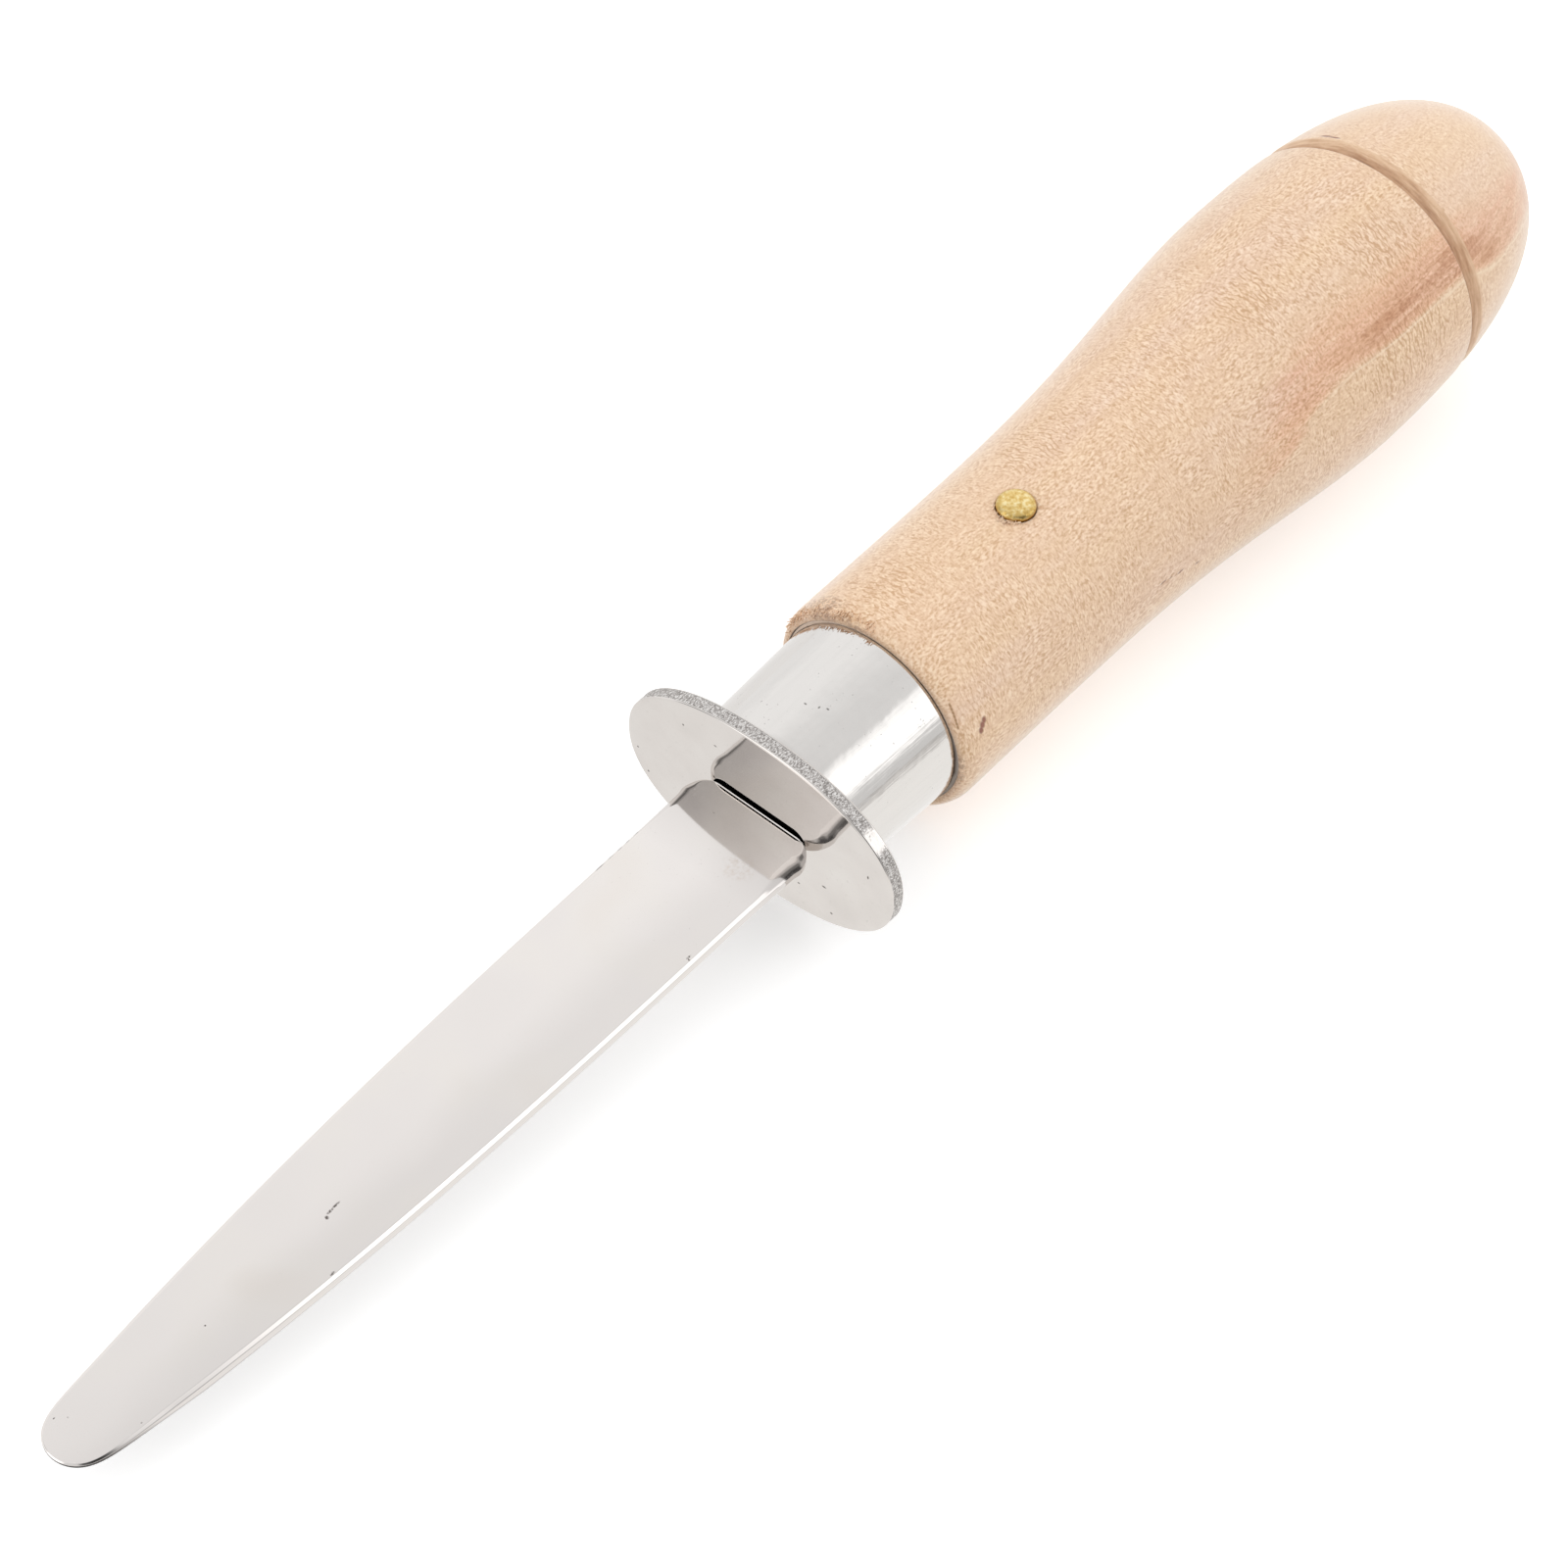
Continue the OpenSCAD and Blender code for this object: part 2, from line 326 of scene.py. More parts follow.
def with_tree(made, tree, **inputs):
    """Adds a Geometry Nodes modifier and sets its inputs by the sockets' identifiers."""
    modifier = made.modifiers.new(tree.name, "NODES")
    modifier.node_group = tree
    sockets = {s.name: s.identifier for s in tree.interface.items_tree if s.in_out == "INPUT"}
    for name, value in inputs.items():
        modifier[sockets[name.replace("_", " ")]] = value
    return made


def outward(made):
    """Turns a closed mesh inside out if its volume comes out negative, and prints its size."""
    mesh = made.data
    mesh.calc_loop_triangles()
    co = np.array([v.co for v in mesh.vertices])
    tri = np.array([t.vertices for t in mesh.loop_triangles])
    volume = np.einsum("ij,ij->i", co[tri[:, 0]], np.cross(co[tri[:, 1]], co[tri[:, 2]])).sum() / 6
    if volume < 0:
        mesh.flip_normals()
    print(made.name, len(mesh.polygons), "faces,", len(tri), "triangles,", round(abs(volume) / MM ** 3, 1),
          "mm3")
    return made


def spaced(points, gap):
    """The same chain of points with no step longer than a gap."""
    chain = [np.asarray(points[0], float)]
    for a, b in zip(points[:-1], points[1:]):
        a, b = np.asarray(a, float), np.asarray(b, float)
        steps = max(1, math.ceil(np.linalg.norm(b - a) / gap))
        chain += [a + (b - a) * i / steps for i in range(1, steps + 1)]
    return chain


def eased(corners, steps=5):
    """A chain of [along, radius] whose corners are rounded; each corner is (along, radius, rounding)."""
    chain = []
    for i, (x, r, ease) in enumerate(corners):
        here = np.array((x, r), float)
        if ease == 0 or i in (0, len(corners) - 1):
            chain.append(here)
            continue
        before, after = np.array(corners[i - 1][:2], float), np.array(corners[i + 1][:2], float)
        start = here + (before - here) / np.linalg.norm(before - here) * ease
        end = here + (after - here) / np.linalg.norm(after - here) * ease
        for t in np.linspace(0, 1, steps + 1):
            chain.append((1 - t) ** 2 * start + 2 * t * (1 - t) * here + t * t * end)
    return chain


def turn_outline(name, outline, material, sides, unevenness=(0, 0, 0), patch=2.0, seed=1.0, shift=True):
    """Turns an outline of [distance behind the guard's face, radius] on the lathe."""
    points = np.array([(-x, 0, r) for x, r in outline])
    points = placed(points) if shift else points * MM
    made = new_object(name, points, edges=[(i, i + 1) for i in range(len(points) - 1)])
    with_tree(made, lathe, Sides=sides, Unevenness=unevenness, Patch_size=patch * MM, Seed=seed,
              Material=material)
    return outward(baked(made))


# %% [markdown]
# ## Metals
# A metal's colour is the colour of its reflections, so it belongs in Base Color with Metallic at 1. The
# finish is in the roughness: a mirror polish is near 0.06, a drawn and buffed tube near 0.08, a hammered
# head near 0.3, a sheared edge near 0.4. Every bump height is a real one, in metres.


# %% A tree for a new material
def new_material(name):
    """A material with an empty tree, the function that adds to it, and its own space in millimetres."""
    made = bpy.data.materials.new(name)
    made.use_nodes = True
    made.node_tree.nodes.clear()
    add = adder(made.node_tree)
    mm = add("VectorMath SCALE", add("TexCoord").outputs["Object"], 1 / MM)
    return made, add, mm


def finish_material(made, add, **sockets):
    """Adds the surface shader and the output."""
    add("OutputMaterial", Surface=add("BsdfPrincipled", **sockets))
    return made


def spots(add, mm, marks):
    """A mask that is 1 in small marks. Each mark is (centre in mm, size in mm along X, Y and Z)."""
    mask = None
    for centre, size in marks:
        near = add("VectorMath SUBTRACT", mm, centre)
        near = add("VectorMath MULTIPLY", near, [1 / s for s in size])
        far = add("VectorMath LENGTH", near)
        spot = add("MapRange", far, 1, 0.5)
        mask = add("Math MAXIMUM", mask, spot) if mask else spot
    return mask


# %% [markdown]
# ### Mirror-polished stainless steel, for the blade
# Rolled stainless strip, buffed on a wheel until it mirrors the room. What tells it from chrome are faint
# warm and cold clouds, a slight waviness that bends reflections, a smudge or two, and a few pits and nicks.


# %% Blade steel
# The second colour is painted shade, for the tang and the walls inside the guard's slot
BLACK, SLOT_SHADE_BLACK = "#000000", "#0E0C0B"
FACE_PITS = [
    # place along X and Y, size along X and Y, all in mm
    (28.84, 5.95, 0.36, 0.11), (29.05, 6.1, 0.12, 0.22), (67.6, 0.58, 0.55, 0.14), (68.35, 0.64, 0.5, 0.15),
    (69.0, 0.87, 0.22, 0.24), (72.6, 5.0, 0.35, 0.14), (83.1, 0.63, 0.11, 0.10), (97.3, -2.4, 0.16, 0.07),
    (96.5, -1.6, 0.08, 0.10), (92.9, 3.2, 0.12, 0.08),
]
EDGE_NICKS = [(26.6, -6.47, 0.75, 0.10), (25.1, -6.50, 0.5, 0.07), (23.9, -6.53, 0.4, 0.10),
              (22.8, -6.55, 0.35, 0.08), (21.6, -6.58, 0.5, 0.08)]


def make_blade_steel():
    made, add, mm = new_material("stainless_steel_mirror_polished")
    clouds = add("TexNoise", mm, Scale=0.11, Roughness=0.4)
    # Clouds 9 mm wide, a little warmer or colder
    tint = add("ValToRGB", clouds,
               stops=[(0.30, "#EFEAE7"), (0.46, "#F0EBE8"), (0.58, "#F1ECE8"), (0.72, "#F0EAE5")])
    smudge = spots(add, mm, [((18.6, 2.9, 0.7), (1.7, 1.9, 1))])
    patchy = add("TexNoise", mm, Scale=2.2)
    patchy = add("MapRange", patchy, 0.40, 0.75)
    smudge = add("Math MULTIPLY", smudge, patchy)
    smudged = add("Mix RGBA", smudge, tint, "#E6DCD4")
    # Towards one side the colour is darkened a little: painted shade
    part = add("SeparateXYZ", mm).outputs
    side = add("Math MULTIPLY_ADD", clouds, 6, part["Y"])
    painted_shade_to_one_side = add("MapRange SMOOTHSTEP", side, 1.5, 7, 0, 0.09)
    smudged = add("Mix RGBA", painted_shade_to_one_side, smudged, BLACK)
    pits = spots(add, mm, [((x, y, 0.7), (long, wide, 0.4)) for x, y, long, wide in FACE_PITS]
                 + [((x, y, 0.6), (long, wide, 0.5)) for x, y, long, wide in EDGE_NICKS])
    ragged = add("TexNoise", mm, Scale=7)
    ragged = add("MapRange", ragged, 0.36, 0.52)
    pits = add("Math MULTIPLY", pits, ragged)
    dark = add("Mix RGBA", pits, smudged, "#6E6764")
    specks = add("TexNoise", mm, Scale=5, Detail=1)
    speck = add("MapRange", specks, 0.78, 0.83)
    # Polishing leaves waves 6 mm wide and 3 thousandths of a millimetre high
    wave = add("TexNoise", mm, Scale=0.16, Detail=1)
    wavy = add("Bump", Height=wave, Distance=3e-6)
    pitted = add("Math MAXIMUM", pits, speck)
    bump = add("Bump", Height=pitted, Normal=wavy, Distance=3e-5, Strength=0.6, invert=True)
    # Close to the guard the colour is darkened a little: painted shade in the corner. Behind the guard's
    # face, in the slot, the steel is painted black and made rough: painted shade. The edge that meets the
    # guard has a small burr, which catches the light
    corner = add("MapRange", part["X"], GUARD_FACE + 9, GUARD_FACE + 3, 0, 0.13)
    dark = add("Mix RGBA", corner, dark, BLACK)
    burr = add("MapRange", part["X"], GUARD_FACE + 0.20, GUARD_FACE)
    bump = add("Bump", Height=burr, Normal=bump, Distance=1.1e-4)
    painted_shade_in_slot = add("MapRange", part["X"], GUARD_FACE + 0.03, GUARD_FACE - 0.03)
    dark = add("Mix RGBA", painted_shade_in_slot, dark, SLOT_SHADE_BLACK)
    rough = add("MapRange", smudge, 0, 1, 0.055, 0.12)
    rough = add("Math MULTIPLY_ADD", painted_shade_in_slot, 0.45, rough)
    return finish_material(made, add, Base_Color=dark, Metallic=1, Roughness=rough, Normal=bump)


blade_steel = make_blade_steel()

# %% [markdown]
# ### Polished sheet with a sheared rim, for the guard
# The guard is stamped from sheet. Its faces are polished, with small stains and pits, while its rim keeps
# the torn, granular band that a punch leaves, with a thin burnished line along each edge. The mesh carries
# an attribute that is 1 on the rim, which mixes the two finishes in one material.


# %% Guard steel
GUARD_PITS = [
    # place along Y and Z, size along Y and Z, all in mm
    (7.9, -3.8, 0.3, 0.14), (5.0, -5.8, 0.16, 0.12), (8.9, -6.9, 0.18, 0.14), (12.7, 1.9, 0.12, 0.28),
    (-9.0, 5.5, 0.14, 0.14), (-14.4, -2.2, 0.14, 0.12), (-13.1, -4.7, 0.14, 0.14), (-5.2, 5.6, 0.2, 0.1),
]


def make_guard_steel():
    made, add, mm = new_material("stainless_steel_stamped_and_polished")
    rim = add("Attribute", attribute_name="rim").outputs["Fac"]
    # One stretch of the rim was burnished by the die, and shines
    burnished = spots(add, mm, [((11.7, 12.6, 6.4), (3, 1.5, 1.5))])
    rim = add("Math SUBTRACT", rim, burnished, use_clamp=True)
    clouds = add("TexNoise", mm, Scale=0.16, Detail=3)
    face = add("ValToRGB", clouds, stops=[(0.32, "#DBD6D2"), (0.5, "#E0DBD7"), (0.68, "#E3DFDB")])
    pits = spots(add, mm, [((GUARD_FACE, y, z), (0.5, wide, high)) for y, z, wide, high in GUARD_PITS])
    stains = add("TexNoise", mm, Scale=1.8, Detail=4, Roughness=0.7)  # stains half a millimetre wide
    stain = add("MapRange", stains, 0.60, 0.76, 0, 0.5)
    stained = add("Mix RGBA", stain, face, "#C9C5C0")
    pitted = add("Mix RGBA", pits, stained, "#6A645F")
    # The torn metal's grains are a seventh of a millimetre wide, and drawn out across the rim
    strokes = add("VectorMath MULTIPLY", mm, (0.55, 1, 1))
    grit = add("TexNoise", strokes, Scale=6.8, Detail=2.5, Roughness=0.7)
    sheared = add("ValToRGB", grit,
                  stops=[(0.36, "#8C8784"), (0.46, "#B5B0AD"), (0.54, "#D6D2CF"), (0.62, "#FAF8F6")])
    base = add("Mix RGBA", rim, pitted, sheared)
    # The slot's walls are painted black and made rough: painted shade inside the slot
    apart = add("VectorMath MULTIPLY", mm, (0, 1 / (SLOT_LENGTH + 0.1), 1 / (SLOT_HEIGHT + 0.1)))
    apart = add("SeparateXYZ", add("VectorMath ABSOLUTE", apart)).outputs
    near = add("Math LESS_THAN", add("Math MAXIMUM", apart["Y"], apart["Z"]), 0.5)
    deep = add("Math LESS_THAN", add("SeparateXYZ", mm).outputs["X"], GUARD_FACE - 0.04)
    slot = add("Math MULTIPLY", near, deep)
    base = add("Mix RGBA", slot, base, SLOT_SHADE_BLACK)
    rough = add("MapRange", rim, 0, 1, 0.07, 0.42)
    rough = add("Math MULTIPLY_ADD", slot, 0.5, rough)
    height = add("Math MULTIPLY", grit, rim)
    grain = add("Bump", Height=height, Distance=1.2e-4, Strength=0.9)
    bump = add("Bump", Height=pits, Normal=grain, Distance=4e-5, Strength=0.6, invert=True)
    return finish_material(made, add, Base_Color=base, Metallic=1, Roughness=rough, Normal=bump)


guard_steel = make_guard_steel()

# %% [markdown]
# ### Drawn and polished tube, for the ferrule
# A ferrule is cut from drawn tube and buffed. The drawing leaves faint lines along it, deeper on one side,
# and the buffing leaves soft dents. Both bend the edges of the bright and dark bands that it mirrors.


# %% Ferrule steel
def make_ferrule_steel():
    made, add, mm = new_material("steel_tube_drawn_and_buffed")
    lines = add("VectorMath MULTIPLY", mm, (0.14, 1.5, 1.5))
    drawn = add("TexNoise", lines, Scale=0.9, Detail=3, Roughness=0.55)  # lines 0.7 mm wide, 8 mm long
    tint = add("ValToRGB", drawn, stops=[(0.30, "#E4E1DE"), (0.5, "#E6E3E0"), (0.7, "#E7E4E1")])
    specks = add("TexNoise", mm, Scale=3.2, Roughness=0.6)
    where = add("TexNoise", mm, Scale=0.22, Detail=1)
    patch = add("MapRange", where, 0.46, 0.66, 0, 0.06)
    high = add("Math ADD", specks, patch)
    speck = add("MapRange", high, 0.72, 0.79, 0, 0.5)
    pits = spots(add, mm, [((5.1, 1.51, 9.51), (0.12, 0.19, 0.2)), ((5.5, 0.84, 9.59), (0.19, 0.11, 0.2)),
                           ((6.0, -0.34, 9.6), (0.11, 0.2, 0.2))])
    speck = add("Math MAXIMUM", speck, pits)
    marked = add("Mix RGBA", speck, tint, "#8E8B88")
    soft = add("TexNoise", mm, Scale=0.40)  # dents 2.5 mm wide
    dents = add("Bump", Height=soft, Distance=5e-5)
    drawn_lines = add("Bump", Height=drawn, Normal=dents, Distance=4e-6)
    # On one side the die has scored it with deeper lines
    scored = add("VectorMath MULTIPLY", mm, (0.10, 2.4, 2.4))
    scored = add("TexNoise", scored, Scale=1)
    sideways = add("MapRange", add("SeparateXYZ", mm).outputs["Y"], 4.8, 7.0)
    scored = add("Math MULTIPLY", scored, sideways)
    drawn_lines = add("Bump", Height=scored, Normal=drawn_lines, Distance=2.0e-5)
    bump = add("Bump", Height=speck, Normal=drawn_lines, Distance=2e-5, Strength=0.6, invert=True)
    rough = add("MapRange", drawn, 0, 1, 0.06, 0.09)
    return finish_material(made, add, Base_Color=marked, Metallic=1, Roughness=rough, Normal=bump)


ferrule_steel = make_ferrule_steel()

# %% [markdown]
# ### Hammered brass, for the pin
# The pin is a piece of brass wire whose ends are hammered over. Each blow leaves a small bright facet, and
# the hollows between them stay a little browner. The head's rim and its lower side are darkened:
# painted shade.


# %% Brass
def make_brass():
    made, add, mm = new_material("brass_hammered")
    fine = add("TexNoise", mm, Scale=2.4, Detail=3)  # facets 0.4 mm wide
    tint = add("ValToRGB", fine, stops=[(0.35, "#D9B56C"), (0.5, "#EED08A"), (0.62, "#FFEDB8")])
    part = add("SeparateXYZ", mm).outputs
    # The head's lower side, next to the wood, is darkened: painted shade
    low = add("MapRange", add("Math ABSOLUTE", part["Z"]), PIN_TOP - 0.53, PIN_TOP - 0.73)
    brass_with_painted_shade = add("Mix RGBA", low, tint, "#A87A3C")
    # Towards the head's rim it is darkened too: painted shade
    centred = add("VectorMath SUBTRACT", mm, (GUARD_FACE - PIN_AT, 0, 0))
    centred = add("VectorMath MULTIPLY", centred, (1, 1, 0))
    rim = add("MapRange", add("VectorMath LENGTH", centred), 1.25, PIN_HEAD / 2 - 0.05, 0, 0.6)
    brass_with_painted_shade = add("Mix RGBA", rim, brass_with_painted_shade, "#BC9A50")
    hammered = add("Bump", Height=fine, Distance=1.2e-4, Strength=0.7)
    rough = add("MapRange", fine, 0, 1, 0.22, 0.38)
    return finish_material(made, add, Base_Color=brass_with_painted_shade, Metallic=1, Roughness=rough, Normal=hammered)


brass = make_brass()

# %% [markdown]
# ### Sanded birch, for the handle
# Birch is a pale wood with very fine pores. Turned and sanded but not varnished, it looks like dense felt:
# short light and dark flecks a quarter of a millimetre wide, crossed in places by ripples where the fibres
# curl. One layer of pinkish heartwood comes to the surface where the handle is thickest. All of it is drawn
# in the wood's own space, with X along the fibres.


# %% Wood
def make_wood():
    made, add, mm = new_material("birch_turned_and_sanded")
    part = add("SeparateXYZ", mm).outputs
    along = part["X"]
    angle = add("Math ARCTAN2", part["Y"], part["Z"])
    flat = add("CombineXYZ", Y=part["Y"], Z=part["Z"])
    radius = add("VectorMath LENGTH", flat)
    fibre = add("VectorMath MULTIPLY", mm, (0.10, 1, 1))

    # Slow changes of tone, 4 mm wide and ten times as long, between yellowish and pinkish cream
    tone = add("TexNoise", fibre, Scale=0.25, Detail=3)
    base = add("ValToRGB", tone, stops=[(0.32, "#F4DABC"), (0.5, "#F4DABF"), (0.68, "#F3DAC4")])
    base = add("Mix RGBA", add("MapRange", along, -78, -94, 0, 0.22), base, "#FBEBDA")
    # Growth rings round the tree's middle, which lies 31 mm from the handle's axis, one every 2.4 mm
    growth = add("VectorMath LENGTH", add("VectorMath SUBTRACT", flat, (0, 24, -19)))
    bend = add("TexNoise", fibre, Scale=0.18)
    growth = add("Math MULTIPLY_ADD", bend, 7, growth)
    growth = add("Math SINE", add("Math MULTIPLY", growth, 2.6))
    rings = add("MapRange", growth, 0.86, 1.0, 0, 0.14)

    # Short light and dark flecks. They lie along the grain, but in the patches where the fibres curl they
    # lie across it, with rows of thin darker lines 0.6 mm apart between them
    patch = add("TexNoise", mm, Scale=0.13, Detail=1)
    patch = add("MapRange", patch, 0.42, 0.56)
    grain_space = add("VectorMath MULTIPLY", mm, (0.58, 1.05, 1.05))
    curl_space = add("VectorMath MULTIPLY", mm, (1.6, 0.75, 0.75))
    flecks = add("TexNoise", grain_space, Scale=4.1, Detail=1.5, Distortion=0.4)
    ripples = add("TexNoise", curl_space, Scale=3.0, Detail=1.5, Distortion=0.7)
    curled = spots(add, mm, [surface_mark(*m) for m in CURLED_PATCHES])
    patch = add("Math MAXIMUM", patch, curled)
    texture = add("Mix", patch, flecks, ripples)
    wander = add("TexNoise", mm, Scale=0.45)
    rows = add("Math MULTIPLY_ADD", wander, 2.4, along)
    rows = add("Math SINE", add("Math MULTIPLY", rows, 2 * math.pi / 0.6))
    ends = add("TexNoise", curl_space, Scale=0.9, Detail=1)
    curls = add("Math MULTIPLY", add("MapRange", rows, 0.35, 0.95), add("MapRange", ends, 0.46, 0.52))
    texture = add("Math MULTIPLY_ADD", add("Math MULTIPLY", curls, curled), -0.30, texture)
    texture = add("Math SUBTRACT", texture, 0.53)
    texture = add("Math MULTIPLY_ADD", texture, add("MapRange", along, -76, -86, 1, 0.62), 0.53)
    shade = add("ValToRGB", texture, stops=[(0.30, "#D8C2AC"), (0.5, "#F1E7DD"), (0.68, "#FFFFFF")])
    wood = add("Mix RGBA", 1.0, base, shade, blend_type="MULTIPLY")
    wood = add("Mix RGBA", rings, wood, "#CFA681")

    # The layer of heartwood: a flame on one side that bends down towards the neck. It is pink above, brown
    # and streaky in its middle, and cut off by a thin pale line below. It only tints the wood, so it is
    # multiplied
    turned = add("Math SUBTRACT", angle, math.radians(46))
    flame_bend = add("TexNoise", fibre, Scale=0.35, Detail=3)
    swing = add("Math SUBTRACT", flame_bend, 0.5)
    offset = add("Math MULTIPLY_ADD", swing, 4.0, add("Math MULTIPLY", turned, radius))
    offset = add("Math SUBTRACT", offset, add("MapRange SMOOTHSTEP", along, -62, -40, 0, 5.5))
    offset = add("Math SUBTRACT", offset, add("MapRange SMOOTHSTEP", along, -77, -86, 0, 2.2))
    streaks = add("VectorMath MULTIPLY", mm, (0.06, 1, 1))
    streak = add("TexNoise", streaks, Scale=1.3, Detail=3)
    pink = add("MapRange SMOOTHSTEP", offset, -5.5, -0.8)
    for limit in (add("MapRange SMOOTHSTEP", offset, 2.7, 1.6), add("MapRange SMOOTHSTEP", along, -40, -56),
                  add("MapRange", streak, 0.3, 0.6, 0.3, 0.6), add("MapRange", along, -96, -84, 0.85)):
        pink = add("Math MULTIPLY", pink, limit)
    core = add("MapRange SMOOTHSTEP", offset, -1.9, 0.2)
    for limit in (add("MapRange SMOOTHSTEP", offset, 2.3, 1.2),
                  add("MapRange SMOOTHSTEP", along, -56, -70, 0, 0.55),
                  add("MapRange", streak, 0.36, 0.56), add("MapRange", along, -90, -80, 0.1)):
        core = add("Math MULTIPLY", core, limit)
    flame = add("Math ADD", pink, core)
    tint = add("ValToRGB", flame,
               stops=[(0.0, "#FFFFFF"), (0.5, "#FAE9E3"), (0.75, "#F0DBD0"), (1.0, "#E2C5B4")])
    wood = add("Mix RGBA", 1.0, wood, tint, blend_type="MULTIPLY")
    line = add("Math SUBTRACT", add("MapRange", offset, 2.0, 3.4), 0.5)
    line = add("MapRange", add("Math ABSOLUTE", line), 0.20, 0)
    pale = add("Math MULTIPLY", line, add("MapRange", along, -52, -62, 0, 0.5))
    wood = add("Mix RGBA", pale, wood, "#F8E4CA")

    # A thin darker band where the wood meets the ferrule: painted shade at the joint. The groove is painted
    # brown with the turner's fine lines in it, darkest along its steep wall on the belly's side: painted
    # shade
    front = add("MapRange", along, -3.52, -3.42, 0, 0.2)
    half = (GROOVE_WIDTH + 0.05) / 2
    groove = add("Math ABSOLUTE", add("Math SUBTRACT", along, GUARD_FACE - GROOVE_AT - half))
    groove = add("MapRange", groove, half + 0.05, half - 0.1, 0, 0.85)
    turning = add("VectorMath MULTIPLY", mm, (3.2, 0.35, 0.35))
    turning = add("TexNoise", turning, Scale=1.0, Detail=3)
    turning = add("Math MULTIPLY_ADD", turning, 1.8, -0.95)
    turning = add("Math ADD", add("MapRange", along, -78.3, -80.4), turning)
    dark_brown_and_shade = add("ValToRGB", turning,
                stops=[(0.0, "#8A6040"), (0.16, "#AC7F5C"), (0.5, "#C69C79"), (1.0, "#E2C09E")])
    wood = add("Mix RGBA", add("Math MAXIMUM", front, groove), wood, dark_brown_and_shade)

    # Marks of its own: torn fibres, a crack and a chip behind the ferrule, a fleck, nicks in the groove.
    # The torn patches also hold painted shade in the gap beside the ferrule
    torn, crack, marks = (spots(add, mm, [surface_mark(*m) for m in table])
                          for table in (TORN_AND_SHADED_PATCHES, CRACK, WOOD_MARKS))
    torn = add("Math MULTIPLY", torn, add("MapRange", ripples, 0.56, 0.44, 0.05, 0.55))

    # The recess round the ferrule's end is painted pale on one side and grey round the other, with a dark
    # outer
    # edge: painted light and shade. Inside the ferrule the wood is painted black: painted shade
    recess = add("MapRange", radius, MOUTH + 0.05, MOUTH + 0.02)
    for limit in (add("MapRange", along, -4.6, -4.5), add("MapRange", along, -3.405, -3.425)):
        recess = add("Math MULTIPLY", recess, limit)
    recess_painted_light_and_shade = add("ValToRGB", add("MapRange", angle, -0.9, 1.8),
                stops=[(0, "#FFE8D4"), (0.35, "#A08C7C"), (0.65, "#8A786A"), (0.9, "#C2B6AC")])
    recess_painted_light_and_shade = add("Mix RGBA", add("MapRange", radius, MOUTH - 0.13, MOUTH - 0.09), recess_painted_light_and_shade, "#6B5748")
    inside = add("Math MULTIPLY", add("MapRange", radius, 9.35, 9.25), add("MapRange", along, -3.2, -3.0))
    for mask, paint in ((torn, "#A08370"), (crack, "#AB845F"), (marks, "#95624F"), (recess, recess_painted_light_and_shade),
                        (inside, "#120D0A")):
        wood = add("Mix RGBA", mask, wood, paint)

    # Seen at a glancing angle the colour is mixed towards pale cream: a painted sheen, like that of fibre
    # ends standing up from the sanded surface
    grazing = add("LayerWeight", Blend=0.5).outputs["Facing"]
    painted_sheen = add("MapRange SMOOTHSTEP", grazing, 0.55, 0.95, 0, 0.28)
    wood = add("Mix RGBA", painted_sheen, wood, "#FFF6EC")

    fibres = add("Bump", Height=texture, Distance=3e-5, Strength=0.8)
    bump = add("Bump", Height=marks, Normal=fibres, Distance=1e-4, Strength=0.6, invert=True)
    return finish_material(made, add, Base_Color=wood, Roughness=0.60, Normal=bump, Sheen_Weight=0.45,
                           Sheen_Roughness=0.4)


def surface_mark(x, degrees, radius, size):
    """Centre and size of a mark on the turned wood, from its place along and round the handle."""
    turned = math.radians(degrees)
    return (x, radius * math.sin(turned), radius * math.cos(turned)), size


CURLED_PATCHES = [
    # along X, degrees from the top, radius, size along X, Y and Z
    (-72.0, 24, 14.4, (6, 4.2, 4.2)), (-68.0, 66, 14.2, (11, 4, 5)), (-57.5, 4, 13.4, (6, 4, 4)),
    (-8.0, -20, 11.4, (6, 5, 4)), (-31.5, -20, 11.7, (7, 4, 4)),
]
TORN_AND_SHADED_PATCHES = [
    # four places on the front lip, of which the ones at -36 and 90 degrees are painted shade in the gap
    # beside the ferrule, and one beside the pin
    (-3.5, -36, 10.4, (0.45, 2.6, 2.0)), (-3.5, -14, 10.4, (0.3, 2.4, 0.6)),
    (-4.6, -40, 11.2, (1.2, 4.0, 3.5)), (-3.5, 90, 10.4, (0.4, 0.8, 2.6)),
    (-21.2, 1, 11.4, (0.7, 0.9, 0.5)),
]
WOOD_MARKS = [
    # along X, degrees from the top, radius, size along X, Y and Z
    (-32.2, 81.0, 11.58, (0.60, 0.3, 0.10)), (-34.7, 83.6, 11.68, (0.55, 0.3, 0.12)),
    (-33.3, 82.2, 11.62, (0.35, 0.3, 0.07)), (-37.2, 87.3, 11.80, (0.35, 0.3, 0.12)),
    (-6.42, 66.2, 11.42, (0.36, 0.42, 0.45)), (-6.08, 67.8, 11.40, (0.40, 0.45, 0.52)),
    (-5.76, 69.8, 11.38, (0.36, 0.40, 0.50)), (-80.9, -29.0, 14.00, (0.20, 1.2, 0.60)),
    (-80.8, -24.3, 14.00, (0.16, 1.0, 0.50)),
]
# The crack runs a little askew round the neck
CRACK = [(-3.93 + 0.017 * turned, 49 + turned, 11.07 - 0.009 * turned, (0.12, 0.30, 0.34))
         for turned in range(0, 13, 2)]
birch = make_wood()
print("materials:", [material.name for material in bpy.data.materials])

